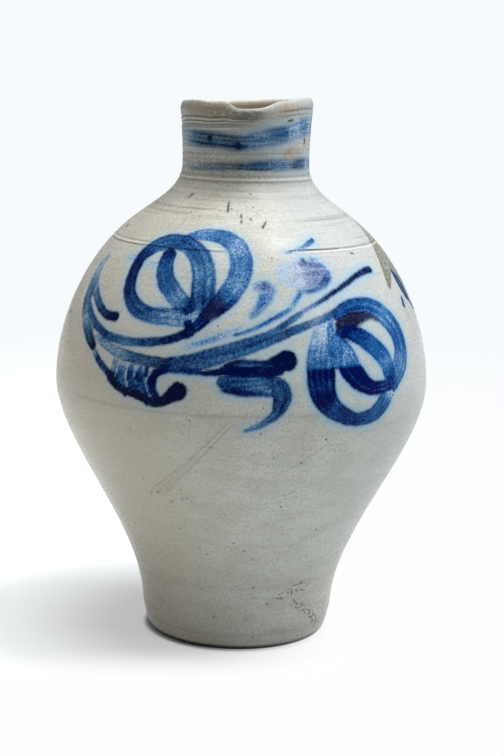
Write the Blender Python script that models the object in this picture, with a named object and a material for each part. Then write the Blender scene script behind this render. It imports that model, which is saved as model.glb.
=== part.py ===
"""A salt-glazed stoneware pitcher: a wheel-thrown body with a pulled pouring lip, and a strap handle.

Metres, +Z up. The pitcher stands on z = 0 with its turning axis on Z. The lip points along -Y, and
the handle stands behind the neck along +Y. The body is one thrown lump of clay, open at the mouth, and
the handle is a second lump that was pulled by hand, bent and pressed onto the neck and the shoulder.
"""

import math

import bmesh
import bpy
from mathutils import Vector

MM = 0.001

# The thrown body, in millimetres. Each rise is measured from the end of the one before it.
FOOT_RADIUS = 57.0
FOOT_EDGE_RADIUS = 1.5
HEEL_RISE = 20.0
HEEL_RADIUS = 61.6
BELLY_RISE = 144.5
BELLY_RADIUS = 118.5
SHOULDER_RISE = 100.0
SHOULDER_RADIUS = 72.5
NECK_TURN_RISE = 37.0
NECK_RADIUS = 39.8
NECK_RISE = 38.5
RIM_RADIUS = 41.5
WALL = 6.5
RIM_WALL = 5.0
RIM_BAND_RISE = 5.0
FLOOR = 10.0
FLOOR_CORNER_RADIUS = 14.0

# How much the wall leans out, as millimetres of radius for each millimetre of height.
FOOT_LEAN = 0.36
HEEL_LEAN = 0.08
SHOULDER_LEAN = -1.21
RIM_LEAN = 0.10

# How far each curve of the outline holds its direction, as a share of its own rise.
EVEN_PULL = 0.33
HEEL_PULL = 0.35
BELLY_PULL_BELOW = 0.27
BELLY_PULL_ABOVE = 0.34
SHOULDER_PULL_BELOW = 0.24
SHOULDER_PULL_ABOVE = 0.37
NECK_PULL = 0.47

# Lines that a tool cut while the pot turned: one round the shoulder, one at the foot of the neck.
SHOULDER_LINE_DROP = 85.3
NECK_LINE_DROP = 45.7
LINE_HALF_WIDTH = 1.4
LINE_DEPTH = 0.7

# The pouring lip: the rim is drawn out and down at the front, and eased in on both sides of it.
LIP_REACH = 7.5
LIP_DROP = 4.6
LIP_HALF_ANGLE = 24.0
LIP_SHARPNESS = 2.6
LIP_BLEND_HEIGHT = 30.0
LIP_SIDE_EASE = 1.0
LIP_SIDE_ANGLE = 52.0
LIP_SIDE_SPREAD = 16.0

# The pulled strap handle, in millimetres. Drops are measured down from the rim.
HANDLE_TOP_DROP = 24.0
HANDLE_FOOT_DROP = 85.0
HANDLE_STANDOFF = 52.0
HANDLE_BOW_DROP = 47.0
HANDLE_TOP_ANGLE = 30.0
HANDLE_FOOT_ANGLE = 64.0
HANDLE_TOP_PULL = 30.0
HANDLE_BOW_PULL = 25.0
HANDLE_FOOT_PULL = 20.0
STRAP_TOP_WIDTH = 38.0
STRAP_FOOT_WIDTH = 32.0
STRAP_TOP_THICKNESS = 14.0
STRAP_FOOT_THICKNESS = 10.5
STRAP_GROOVE_DEPTH = 1.6
STRAP_GROOVE_SHARE = 0.42
ROOT_SPREAD = 8.0
ROOT_THICKENING = 3.5
ROOT_SPREAD_LENGTH = 13.0
SEAT_GAP = 0.3

# Fineness of the facets.
TURN_STEPS = 72
OUTLINE_STEP = 13.0
INNER_STEP = 30.0
ROUND_STEPS = 4
STRAP_STATIONS = 34
STRAP_SIDES = 24
ROOT_OVERRUN = 4.0

GREY_GLAZE = (0.47, 0.46, 0.43, 1.0)
HANDLE_GLAZE = (0.45, 0.44, 0.41, 1.0)
GLAZE_ROUGHNESS = 0.32

HEEL_Z = HEEL_RISE
BELLY_Z = HEEL_Z + BELLY_RISE
SHOULDER_Z = BELLY_Z + SHOULDER_RISE
NECK_Z = SHOULDER_Z + NECK_TURN_RISE
RIM_Z = NECK_Z + NECK_RISE


def bezier(points, t):
    """The point at t on a cubic curve through its first and last control points."""
    a, b, c, d = points
    s = 1.0 - t
    return a * s**3 + b * (3 * s * s * t) + c * (3 * s * t * t) + d * t**3


def wall_curve(low, low_lean, low_pull, high, high_lean, high_pull):
    """The control points of one stretch of wall between two (radius, height) points."""
    rise = high.y - low.y
    leave = Vector((low_lean, 1.0)) * rise * low_pull
    arrive = Vector((high_lean, 1.0)) * rise * high_pull
    return low, low + leave, high - arrive, high


def wall_curves():
    """The outside of the pot from the foot to just under the rim, as curves in (radius, height)."""
    foot = Vector((FOOT_RADIUS, 0.0))
    heel = Vector((HEEL_RADIUS, HEEL_Z))
    belly = Vector((BELLY_RADIUS, BELLY_Z))
    shoulder = Vector((SHOULDER_RADIUS, SHOULDER_Z))
    neck = Vector((NECK_RADIUS, NECK_Z))
    rim = Vector((RIM_RADIUS, RIM_Z - RIM_BAND_RISE))
    return (
        wall_curve(foot, FOOT_LEAN, EVEN_PULL, heel, HEEL_LEAN, EVEN_PULL),
        wall_curve(heel, HEEL_LEAN, HEEL_PULL, belly, 0.0, BELLY_PULL_BELOW),
        wall_curve(belly, 0.0, BELLY_PULL_ABOVE, shoulder, SHOULDER_LEAN, SHOULDER_PULL_BELOW),
        wall_curve(shoulder, SHOULDER_LEAN, SHOULDER_PULL_ABOVE, neck, 0.0, NECK_PULL),
        wall_curve(neck, 0.0, EVEN_PULL, rim, RIM_LEAN, EVEN_PULL),
    )


def height_share(points, height):
    """Where along a rising curve a height is reached, found by halving."""
    low, high = 0.0, 1.0
    for _ in range(40):
        middle = 0.5 * (low + high)
        if bezier(points, middle).y < height:
            low = middle
        else:
            high = middle
    return 0.5 * (low + high)


def wall_radius(height):
    """The outer radius of the plain wall at a height."""
    curves = wall_curves()
    for points in curves:
        if height <= points[3].y:
            return bezier(points, height_share(points, height)).x
    return curves[-1][3].x


def cut_line_rings():
    """The rings of the cut lines as (height, depth): the two edges and the bottom of each."""
    rings = []
    for drop in (SHOULDER_LINE_DROP, NECK_LINE_DROP):
        middle = RIM_Z - drop
        rings += [(middle - LINE_HALF_WIDTH, 0.0), (middle, LINE_DEPTH), (middle + LINE_HALF_WIDTH, 0.0)]
    return rings


def wall_points(step):
    """Points about a step apart up the outside, each with the direction in which the wall rises."""
    found = []
    for points in wall_curves():
        reach = sum((b - a).length for a, b in zip(points, points[1:]))
        count = max(2, round(reach / step))
        for i in range(count):
            here = bezier(points, i / count)
            rise = bezier(points, i / count + 0.01) - bezier(points, i / count - 0.01)
            found.append((here, rise.normalized()))
    return found


def outer_outline():
    """The outside from the edge of the foot up to the rim's band, with the cut lines in it."""
    lines = cut_line_rings()
    rings = list(lines)
    for here, _ in wall_points(OUTLINE_STEP):
        clear_of_lines = all(abs(here.y - height) > LINE_HALF_WIDTH * 2 for height, _ in lines)
        if here.y > FOOT_EDGE_RADIUS * 2 and clear_of_lines:
            rings.append((here.y, 0.0))
    return foot_edge() + [Vector((wall_radius(z) - depth, z)) for z, depth in sorted(rings)]


def foot_edge():
    """The rounded edge between the flat underside and the wall."""
    centre = Vector((wall_radius(FOOT_EDGE_RADIUS) - FOOT_EDGE_RADIUS, FOOT_EDGE_RADIUS))
    turns = [math.pi / 2 * (i / ROUND_STEPS - 1) for i in range(ROUND_STEPS + 1)]
    return [centre + Vector((math.cos(a), math.sin(a))) * FOOT_EDGE_RADIUS for a in turns]


def rim_roll():
    """The rounded top of the rim, from the outside over to the inside."""
    half = RIM_WALL / 2
    middle = Vector((RIM_RADIUS - half, RIM_Z - RIM_BAND_RISE))
    turns = [math.pi * i / (2 * ROUND_STEPS) for i in range(2 * ROUND_STEPS + 1)]
    return [middle + Vector((half * math.cos(a), RIM_BAND_RISE * math.sin(a))) for a in turns]


def inner_wall():
    """The inside from under the rim down to the floor's rounded corner, one wall in from the outside."""
    corner_top = FLOOR + FLOOR_CORNER_RADIUS
    inside = [Vector((wall_radius(corner_top) - WALL, corner_top))]
    for here, rise in wall_points(INNER_STEP):
        share = min(1.0, max(0.0, (here.y - NECK_Z) / NECK_RISE))
        place = here + Vector((-rise.y, rise.x)) * (WALL + (RIM_WALL - WALL) * share)
        if corner_top + FLOOR_CORNER_RADIUS / 2 < place.y < RIM_Z - RIM_BAND_RISE * 2:
            inside.append(place)
    return list(reversed(inside))


def floor_corner():
    """The rounded corner where the inside wall turns into the floor."""
    top = FLOOR + FLOOR_CORNER_RADIUS
    centre = Vector((wall_radius(top) - WALL - FLOOR_CORNER_RADIUS, top))
    turns = [math.pi / 2 * (i + 1) / ROUND_STEPS for i in range(ROUND_STEPS)]
    return [centre + Vector((math.cos(a), -math.sin(a))) * FLOOR_CORNER_RADIUS for a in turns]


def body_outline():
    """The whole section of the pot, from the middle of the underside round to the middle of the floor."""
    underside = Vector((0.0, 0.0))
    floor = Vector((0.0, FLOOR))
    return [underside] + outer_outline() + rim_roll() + inner_wall() + floor_corner() + [floor]


def smooth(share):
    """An even step from 0 to 1."""
    share = min(1.0, max(0.0, share))
    return share * share * (3.0 - 2.0 * share)


def pull_lip(point):
    """Moves a point of the turned rim to where the potter's finger drew it."""
    radius = math.hypot(point.x, point.y)
    top = RIM_Z * MM
    rise = smooth((point.z - top) / (LIP_BLEND_HEIGHT * MM) + 1.0)
    if rise == 0.0 or radius == 0.0:
        return point
    bearing = math.degrees(math.atan2(abs(point.x), -point.y))
    front = math.exp(-((bearing / LIP_HALF_ANGLE) ** LIP_SHARPNESS))
    side = math.exp(-(((bearing - LIP_SIDE_ANGLE) / LIP_SIDE_SPREAD) ** 2))
    outward = (LIP_REACH * front * rise**2 - LIP_SIDE_EASE * side * rise) * MM
    grow = 1.0 + outward / radius
    return Vector((point.x * grow, point.y * grow, point.z - LIP_DROP * MM * front * rise))


def glaze(name, colour):
    """A plain glossy stoneware glaze."""
    material = bpy.data.materials.new(name)
    material.use_nodes = True
    shader = material.node_tree.nodes["Principled BSDF"]
    shader.inputs["Base Color"].default_value = colour
    shader.inputs["Roughness"].default_value = GLAZE_ROUGHNESS
    shader.inputs["Metallic"].default_value = 0.0
    return material


def finish_mesh(bm, name, material):
    """Turns an edited mesh into a smooth-shaded object of the scene."""
    bmesh.ops.recalc_face_normals(bm, faces=bm.faces)
    mesh = bpy.data.meshes.new(name)
    bm.to_mesh(mesh)
    bm.free()
    mesh.shade_smooth()
    mesh.set_sharp_from_angle(angle=math.radians(40))
    mesh.materials.append(material)
    made = bpy.data.objects.new(name, mesh)
    bpy.context.scene.collection.objects.link(made)
    return made


def turn(outline):
    """Turns a section, given as (radius, height) in millimetres, once round the pot's axis."""
    bm = bmesh.new()
    verts = [bm.verts.new((p.x * MM, 0.0, p.y * MM)) for p in outline]
    edges = [bm.edges.new(pair) for pair in zip(verts, verts[1:])]
    bmesh.ops.spin(
        bm,
        geom=verts + edges,
        cent=(0.0, 0.0, 0.0),
        axis=(0.0, 0.0, 1.0),
        angle=math.tau,
        steps=TURN_STEPS,
    )
    bmesh.ops.remove_doubles(bm, verts=bm.verts, dist=0.00001)
    return bm


def thrown_body():
    """The pot itself: floor, wall, shoulder, neck and rim in one lump of clay, with the lip pulled."""
    bm = turn(body_outline())
    for vert in bm.verts:
        vert.co = pull_lip(vert.co)
    return finish_mesh(bm, "thrown_body", glaze("Grey salt glaze", GREY_GLAZE))


def handle_curves():
    """The middle line of the strap in (distance behind the axis, height): over the top, then down."""
    top_z = RIM_Z - HANDLE_TOP_DROP
    foot_z = RIM_Z - HANDLE_FOOT_DROP
    top = Vector((wall_radius(top_z), top_z))
    foot = Vector((wall_radius(foot_z), foot_z))
    bow = Vector((NECK_RADIUS + HANDLE_STANDOFF, RIM_Z - HANDLE_BOW_DROP))
    rise = math.radians(HANDLE_TOP_ANGLE)
    fall = math.radians(HANDLE_FOOT_ANGLE)
    leave = Vector((math.cos(rise), math.sin(rise))) * HANDLE_TOP_PULL
    over = Vector((0.0, HANDLE_BOW_PULL))
    arrive = Vector((math.cos(fall), math.sin(fall))) * HANDLE_FOOT_PULL
    return (top, top + leave, bow + over, bow), (bow, bow - over, foot + arrive, foot)


def handle_stations():
    """Points along the strap with its direction and length so far, run on a little into the wall."""
    upper, lower = handle_curves()
    half = STRAP_STATIONS // 2
    line = [bezier(upper, i / half) for i in range(half)]
    line += [bezier(lower, i / half) for i in range(half + 1)]
    sink = WALL + ROOT_OVERRUN
    line.insert(0, line[0] - (line[1] - line[0]).normalized() * sink)
    line.append(line[-1] + (line[-1] - line[-2]).normalized() * sink)
    lengths = [-sink]
    for here, there in zip(line, line[1:]):
        lengths.append(lengths[-1] + (there - here).length)
    ways = [(line[min(i + 1, len(line) - 1)] - line[max(i - 1, 0)]).normalized() for i in range(len(line))]
    return list(zip(line, ways, lengths))


def strap_section(width, thickness):
    """The strap's cross-section: a flat oval with a shallow groove drawn along its outer face."""
    section = []
    for i in range(STRAP_SIDES):
        turn_angle = math.tau * i / STRAP_SIDES
        across = math.copysign(abs(math.cos(turn_angle)) ** 0.7, math.cos(turn_angle)) * width / 2
        out = math.copysign(abs(math.sin(turn_angle)) ** 0.7, math.sin(turn_angle)) * thickness / 2
        if out > 0.0:
            share = across / (width / 2 * STRAP_GROOVE_SHARE)
            out -= STRAP_GROOVE_DEPTH * math.exp(-share * share)
        section.append((across, out))
    return section


def strap_handle():
    """The pulled strap, swept over its middle line and seated on the wall with a hair's gap."""
    stations = handle_stations()
    whole = stations[-1][2] - WALL - ROOT_OVERRUN
    bm = bmesh.new()
    loops = []
    for middle, way, length in stations:
        share = min(1.0, max(0.0, length / whole))
        root = smooth(1.0 - min(length, whole - length) / ROOT_SPREAD_LENGTH)
        width = STRAP_TOP_WIDTH + (STRAP_FOOT_WIDTH - STRAP_TOP_WIDTH) * share + ROOT_SPREAD * root
        thickness = STRAP_TOP_THICKNESS + (STRAP_FOOT_THICKNESS - STRAP_TOP_THICKNESS) * share
        thickness += ROOT_THICKENING * root
        outward = Vector((-way.y, way.x))
        loop = []
        for across, out in strap_section(width, thickness):
            place = middle + outward * out
            loop.append(bm.verts.new((across * MM, place.x * MM, place.y * MM)))
        loops.append(loop)
    for here, there in zip(loops, loops[1:]):
        for i in range(STRAP_SIDES):
            j = (i + 1) % STRAP_SIDES
            bm.faces.new((here[i], here[j], there[j], there[i]))
    bm.faces.new(loops[0])
    bm.faces.new(loops[-1])
    handle = finish_mesh(bm, "strap_handle", glaze("Grey salt glaze on the handle", HANDLE_GLAZE))
    seat = handle.modifiers.new("Seat on the wall", "BOOLEAN")
    seat.operation = "DIFFERENCE"
    seat.object = wall_cutter()
    return handle


def wall_cutter():
    """The outside of the pot grown by the seat gap, which cuts the strap's ends to the wall."""
    grown = [Vector((p.x + SEAT_GAP, p.y)) for p in outer_outline()]
    top = Vector((grown[-1].x, RIM_Z))
    outline = [Vector((0.0, -SEAT_GAP))] + grown + [top, Vector((0.0, RIM_Z))]
    cutter = finish_mesh(turn(outline), "wall_cutter", glaze("Cutter", GREY_GLAZE))
    cutter.hide_render = True
    cutter.display_type = "WIRE"
    return cutter


def main():
    """Clears the scene and builds the pitcher."""
    for old in list(bpy.data.objects):
        bpy.data.objects.remove(old)
    pitcher = bpy.data.objects.new("pitcher", None)
    bpy.context.scene.collection.objects.link(pitcher)
    for piece in (thrown_body(), strap_handle()):
        piece.parent = pitcher


main()
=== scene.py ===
"""The looks of a salt-glazed stoneware pitcher with brushed cobalt ornament.

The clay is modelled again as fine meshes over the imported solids: the thrown body with its tool lines,
pulled lip and cobalt brushwork, and the strap handle. Sizes are in millimetres until a mesh is made,
and places on the wall are (degrees round from the lip, millimetres up from the table).
"""

import logging
import math
from dataclasses import dataclass
from enum import Enum
from functools import partial

import bpy
import numpy as np
from mathutils import Matrix, Vector


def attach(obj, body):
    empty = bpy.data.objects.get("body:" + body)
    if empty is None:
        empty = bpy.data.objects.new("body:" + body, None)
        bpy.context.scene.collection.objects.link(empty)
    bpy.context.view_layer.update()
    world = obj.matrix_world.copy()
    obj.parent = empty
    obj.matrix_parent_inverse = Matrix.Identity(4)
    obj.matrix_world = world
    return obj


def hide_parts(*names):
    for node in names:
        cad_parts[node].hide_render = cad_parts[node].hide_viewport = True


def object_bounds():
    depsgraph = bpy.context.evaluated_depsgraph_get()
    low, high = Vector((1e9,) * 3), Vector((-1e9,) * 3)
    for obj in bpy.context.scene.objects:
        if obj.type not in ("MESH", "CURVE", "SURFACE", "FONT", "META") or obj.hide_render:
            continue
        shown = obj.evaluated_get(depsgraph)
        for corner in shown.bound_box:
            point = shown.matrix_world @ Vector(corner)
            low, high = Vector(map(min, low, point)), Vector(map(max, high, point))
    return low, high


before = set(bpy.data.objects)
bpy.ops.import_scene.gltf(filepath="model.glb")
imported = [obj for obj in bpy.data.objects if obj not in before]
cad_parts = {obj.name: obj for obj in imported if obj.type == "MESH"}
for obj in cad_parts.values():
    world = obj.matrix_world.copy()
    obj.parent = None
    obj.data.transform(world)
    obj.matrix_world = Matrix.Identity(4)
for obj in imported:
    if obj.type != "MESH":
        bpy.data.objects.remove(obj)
CAD_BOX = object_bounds()

Array = np.ndarray
Object = bpy.types.Object
Socket = bpy.types.NodeSocket
Tree = bpy.types.NodeTree
Span = tuple[float, float]

MM = 0.001
PHOTO_WIDTH = 504
PHOTO_HEIGHT = 756
# How far round a stroke its colour may bleed, in millimetres.
PAINT_REACH = 9.0
# How far round from the lip the finely divided front of the mesh reaches, in degrees.
FRONT_REACH = 96.0
# Settings that many nodes share.
TIMES = {"operation": "MULTIPLY"}
LARGER = {"operation": "MAXIMUM"}
LESS = {"operation": "SUBTRACT"}
ADDED = {"operation": "MULTIPLY_ADD"}
EASED = {"interpolation_type": "SMOOTHSTEP"}
COLOURS = {"data_type": "RGBA"}

log = logging.getLogger("pitcher")


def linear(hex_colour: str) -> tuple[float, ...]:
    """Turns an sRGB hex colour into linear light.

    Args:
        hex_colour: A hash and six hex digits.

    Returns:
        Red, green, blue and a full alpha, for a colour socket.
    """
    channels = [int(hex_colour[i : i + 2], 16) / 255 for i in (1, 3, 5)]
    return *(c / 12.92 if c <= 0.04045 else ((c + 0.055) / 1.055) ** 2.4 for c in channels), 1.0


def smooth(share: Array) -> Array:
    """An even step from 0 to 1, held flat outside that range."""
    held = np.clip(share, 0.0, 1.0)
    return held * held * (3.0 - 2.0 * held)


def ramp(value: Array, start: float, end: float) -> Array:
    """An even step from 0 at the start to 1 at the end, which may be the lower of the two."""
    return smooth((value - start) / (end - start))


def within(edge: Array, fade: float) -> Array:
    """1 inside an edge and 0 outside it, changing over so many millimetres."""
    return smooth(edge / fade + 0.5)


def bump(value: Array, middle: float, spread: float) -> Array:
    """A soft bell of height 1 round a middle value."""
    return np.exp(-(((value - middle) / spread) ** 2))


def bearing_of(degrees: Array) -> Array:
    """Angles round from the lip, brought to between -180 and 180."""
    return (degrees + 180.0) % 360.0 - 180.0


def unit(rows: Array) -> Array:
    """Each row brought to a length of 1."""
    return rows / np.linalg.norm(rows, axis=1, keepdims=True)


def travelled(points: Array) -> Array:
    """How far along a line each of its points lies."""
    return np.concatenate([[0.0], np.cumsum(np.linalg.norm(np.diff(points, axis=0), axis=1))])


def curve_points(control: Array, shares: Array) -> Array:
    """Points on a cubic curve given by four control points.

    Args:
        control: Four rows of coordinates.
        shares: Where along the curve, from 0 to 1.

    Returns:
        One row of coordinates for each share.
    """
    t = shares[:, None]
    s = 1.0 - t
    return control[0] * s**3 + control[1] * 3 * s * s * t + control[2] * 3 * s * t * t + control[3] * t**3


def spline(knots: Array, per_span: int) -> Array:
    """A smooth curve through every knot, each span eased by its neighbours.

    Args:
        knots: One row of values for each knot.
        per_span: How many points each span gets.

    Returns:
        The points, with the last knot as the last row.
    """
    padded = np.vstack([2 * knots[0] - knots[1], knots, 2 * knots[-1] - knots[-2]])
    shares = np.arange(per_span) / per_span
    rows = []
    for before, start, end, after in zip(padded, padded[1:], padded[2:], padded[3:]):
        control = np.array([start, start + (end - before) / 6, end - (after - start) / 6, end])
        rows.append(curve_points(control, shares))
    return np.vstack(rows + [knots[-1:]])


def add_object(name: str, data: bpy.types.ID) -> Object:
    """Adds an object to the scene.

    Args:
        name: The object's name.
        data: Its mesh, lamp or camera.

    Returns:
        The object.
    """
    added = bpy.data.objects.new(name, data)
    bpy.context.scene.collection.objects.link(added)
    return added


def add_mesh(name: str, points: Array, faces: list, material: bpy.types.Material) -> Object:
    """Adds a smooth mesh to the scene.

    Args:
        name: The piece's name.
        points: Rows of x, y and z in millimetres.
        faces: The numbers of each face's points.
        material: Its finish.

    Returns:
        The piece.
    """
    mesh = bpy.data.meshes.new(name)
    mesh.from_pydata((points * MM).tolist(), [], faces)
    mesh.shade_smooth()
    mesh.materials.append(material)
    return add_object(name, mesh)


def empty_tree(owner: bpy.types.Material | bpy.types.World) -> Tree:
    """Gives a material or the world a node tree with nothing in it.

    Args:
        owner: The material or the world.

    Returns:
        The tree.
    """
    owner.use_nodes = True
    owner.node_tree.nodes.clear()
    return owner.node_tree


@dataclass(frozen=True)
class WallShape:
    """The turned wall of the pot: the same stretches of curve as the solid has.

    A lean is how far the wall moves out for each millimetre up. A pull is how far its curve keeps to that
    lean below or above a station, as a share of the rise there.
    """

    foot_radius: float = 57.0
    heel_rise: float = 20.0
    heel_radius: float = 61.6
    belly_rise: float = 144.5
    belly_radius: float = 118.5
    shoulder_rise: float = 100.0
    shoulder_radius: float = 72.5
    neck_turn_rise: float = 37.0
    neck_radius: float = 39.8
    neck_rise: float = 38.5
    rim_radius: float = 41.5
    rim_band: float = 5.0
    wall: float = 6.5
    rim_wall: float = 5.0
    floor: float = 10.0
    foot_lean: float = 0.36
    heel_lean: float = 0.08
    shoulder_lean: float = -1.21
    rim_lean: float = 0.10
    even_pull: float = 0.33
    heel_pull: float = 0.35
    belly_pulls: Span = (0.27, 0.34)
    shoulder_pulls: Span = (0.24, 0.37)
    neck_pull: float = 0.47
    steps: int = 200

    @property
    def neck_height(self) -> float:
        """Where the neck starts to rise straight."""
        return self.heel_rise + self.belly_rise + self.shoulder_rise + self.neck_turn_rise

    @property
    def height(self) -> float:
        """The top of the rim."""
        return self.neck_height + self.neck_rise

    @property
    def collar_height(self) -> float:
        """The lower edge of the rim's band."""
        return self.height - self.rim_band

    def outline(self) -> Array:
        """Draws the outside from the foot to the rim's band.

        Returns:
            Closely spaced rows of (radius, height).
        """
        belly = self.heel_rise + self.belly_rise
        even = self.even_pull
        stations = (
            (self.foot_radius, 0.0, self.foot_lean, even, even),
            (self.heel_radius, self.heel_rise, self.heel_lean, even, self.heel_pull),
            (self.belly_radius, belly, 0.0, *self.belly_pulls),
            (self.shoulder_radius, belly + self.shoulder_rise, self.shoulder_lean, *self.shoulder_pulls),
            (self.neck_radius, self.neck_height, 0.0, self.neck_pull, even),
            (self.rim_radius, self.collar_height, self.rim_lean, even, even),
        )
        shares = np.linspace(0.0, 1.0, self.steps, endpoint=False)
        rows = []
        for low, high in zip(stations, stations[1:]):
            rise = high[1] - low[1]
            start = np.array(low[:2])
            end = np.array(high[:2])
            leave = np.array([low[2], 1.0]) * rise * low[4]
            arrive = np.array([high[2], 1.0]) * rise * high[3]
            rows.append(curve_points(np.array([start, start + leave, end - arrive, end]), shares))
        return np.vstack(rows + [np.array([[self.rim_radius, self.collar_height]])])

    def radius(self, height: Array) -> Array:
        """The outer radius of the plain wall at each height."""
        rows = self.outline()
        return np.interp(height, rows[:, 1], rows[:, 0])

    def place(self, degrees: Array, height: Array) -> Array:
        """Points on the plain wall, as rows of x, y and z in millimetres."""
        return turned(self.radius(height), height, degrees)


def turned(radius: Array, height: Array, degrees: Array) -> Array:
    """Rows of x, y and z for places given round the axis."""
    turn = np.radians(degrees)
    return np.stack([radius * np.sin(turn), -radius * np.cos(turn), height], axis=-1)


@dataclass(frozen=True)
class Stroke:
    """One pull of a loaded brush.

    Each touch is (degrees round from the lip, millimetres up, width in millimetres, strength of the colour).
    Violet and grey are how far iron turns the blue, soft is how far its edges fade in millimetres, and dry
    is how much of its width the bristles miss.
    """

    touches: tuple[tuple[float, float, float, float], ...]
    violet: float = 0.0
    grey: float = 0.0
    soft: float = 0.0
    dry: float = 0.0


LEFT_FLOWER = (
    # The first ring, from its foot up the right side, over the top and down the left.
    Stroke((
        (-17, 218, 10, 0.28), (-16.4, 226, 13.5, 0.75), (-16.7, 234, 13.5, 0.62), (-17.6, 243, 13, 0.47),
        (-20.5, 251, 12, 0.62), (-25.5, 256, 11, 0.68), (-31, 258, 11, 0.7), (-37, 257.8, 11.5, 0.66),
        (-42.5, 255, 10.5, 0.62), (-46.2, 249.5, 9, 0.98), (-47, 242.5, 8, 0.94), (-46.3, 234, 8.5, 0.92),
        (-43.8, 226.5, 9, 0.87), (-39.5, 220.5, 9.5, 0.74), (-34, 217.5, 9, 0.6), (-28, 216.8, 8.5, 0.41),
        (-22, 217, 8.5, 0.38),
    ), grey=0.35),
    # The second, wider ring, which runs down into the stem.
    Stroke((
        (-30, 260.5, 4, 0.64), (-24.5, 262.6, 7.5, 0.42), (-17.5, 263, 9, 0.5), (-11, 261.4, 10.5, 0.58),
        (-6.2, 257.3, 11.5, 0.36), (-3.9, 250, 12.5, 0.46), (-4.3, 242, 12.5, 0.48),
        (-6.6, 234.5, 12.5, 0.42), (-10, 227, 12, 0.86), (-13.8, 220, 8.5, 1.05), (-17, 213.5, 5.8, 0.9),
        (-20, 209, 6, 0.92),
    ), grey=0.25),
    # The petal inside the rings.
    Stroke((
        (-34, 251, 9, 0.98), (-33.6, 245, 10, 0.68), (-31.8, 238.5, 10.5, 0.7), (-28.3, 232.5, 10.5, 0.58),
        (-24.5, 227.5, 10, 0.38), (-21, 224, 9, 0.9),
    ), grey=0.3),
    # A drawn edge under the petal, the pools where the rings meet the stem, and a faint smear on the left.
    Stroke((
        (-35.4, 220.2, 2.6, 0.8), (-31, 221.3, 1.6, 0.85), (-26, 221.6, 1.4, 1), (-21.5, 222.8, 1.8, 0.55),
    )),
    Stroke(((-11, 226, 7, 0.85), (-13.5, 221, 8, 0.95)), violet=0.55, soft=1.5),
    Stroke(((-19.9, 214.8, 4.5, 1.05), (-19.6, 213, 5.5, 1.15), (-18.8, 209.5, 5, 0.8)), grey=0.3),
    Stroke(((-53, 247.3, 2.2, 0.2), (-47.5, 246, 3, 0.25)), soft=0.5),
    Stroke(((-43.5, 245.6, 1.6, 0.15), (-34, 244.6, 1.4, 0.15)), soft=0.5),
)

LEFT_SPRAY = (
    Stroke((
        (-69.2, 245, 3, 0.3), (-70.3, 238, 8, 0.26), (-69, 231.5, 9, 0.32), (-65.5, 227, 7.5, 0.42),
        (-61, 222.5, 5.5, 0.57), (-56.5, 217.3, 5.5, 0.8), (-52, 214.2, 5.5, 0.95), (-47.3, 213.8, 6, 1.1),
    ), grey=0.6),
    Stroke((
        (-69, 228, 8, 0.45), (-67, 219.5, 9, 0.55), (-63.3, 210.5, 9, 0.34), (-59.5, 203.3, 8, 0.58),
        (-56.3, 197.8, 7, 0.82), (-54.4, 194.8, 6, 1.15),
    ), grey=0.7),
    Stroke((
        (-63.5, 217, 3.5, 0.58), (-59.5, 211.5, 4.5, 0.68), (-55, 206.7, 5, 0.72), (-49.5, 203, 5, 0.82),
        (-43, 201.4, 5, 0.6), (-36, 201.5, 5, 0.68), (-29, 203.4, 5, 0.86), (-23.5, 206.2, 5, 0.98),
        (-19, 210.5, 6, 1),
    ), grey=0.45),
    Stroke((
        (-52.8, 191.3, 4, 0.46), (-50.3, 187.5, 4.5, 0.8), (-47.2, 183.6, 4.5, 0.85),
        (-44, 179.8, 5, 1.15),
    ), grey=0.6),
)

COMB_LEAF = (
    # A wash, then fingers pulled down over it to a scalloped edge, and the curl that closes it.
    Stroke((
        (-42, 181.5, 10, 0.16), (-37.5, 180, 13, 0.2), (-33.5, 178.5, 13, 0.45), (-30.5, 177.5, 11, 0.2),
    ), grey=0.55, soft=1),
    Stroke(((-43.1, 188.4, 4.2, 0.44), (-43.3, 183.5, 4.4, 0.4), (-43, 179.6, 4.6, 0.84)), grey=0.6),
    Stroke((
        (-40.2, 186.6, 4.8, 0.34), (-40.4, 181.1, 5, 0.68), (-39.6, 175.8, 5.2, 0.6),
        (-38.2, 171.8, 4.8, 1.1),
    ), grey=0.5),
    Stroke((
        (-36.8, 186.8, 4.2, 0.46), (-36.9, 182.1, 4.8, 0.86), (-36, 176.8, 5, 0.8),
        (-34.1, 170.9, 4.8, 1.1),
    ), grey=0.35),
    Stroke((
        (-33.5, 186.6, 4.2, 0.58), (-33.6, 181.3, 4.8, 0.88), (-32.7, 176.1, 5, 0.7),
        (-30.6, 168.6, 5.2, 1.1),
    ), grey=0.3),
    Stroke(((-31.4, 187.4, 3.2, 0.92), (-31.6, 183.8, 3, 0.92)), grey=0.3),
    Stroke((
        (-44.6, 178.8, 4.5, 1.1), (-41.6, 175, 5, 1.1), (-38.4, 172.8, 4.5, 1.05),
        (-34.4, 171.4, 4.5, 1.05), (-30.6, 169.2, 5, 1.1), (-27.4, 168.4, 5.5, 1.1),
        (-24.6, 171, 6.5, 1.2), (-22.6, 174.2, 8.5, 1.2), (-21, 176.2, 10.5, 1.1),
    ), grey=0.65),
    Stroke((
        (-25.2, 187.4, 3.6, 1.1), (-28.3, 185.4, 5, 1.15), (-29.2, 180.5, 5.5, 1.1),
        (-28.8, 175.2, 5, 1.03), (-27.4, 170.8, 4.5, 0.94),
    ), grey=0.3),
)

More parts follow.
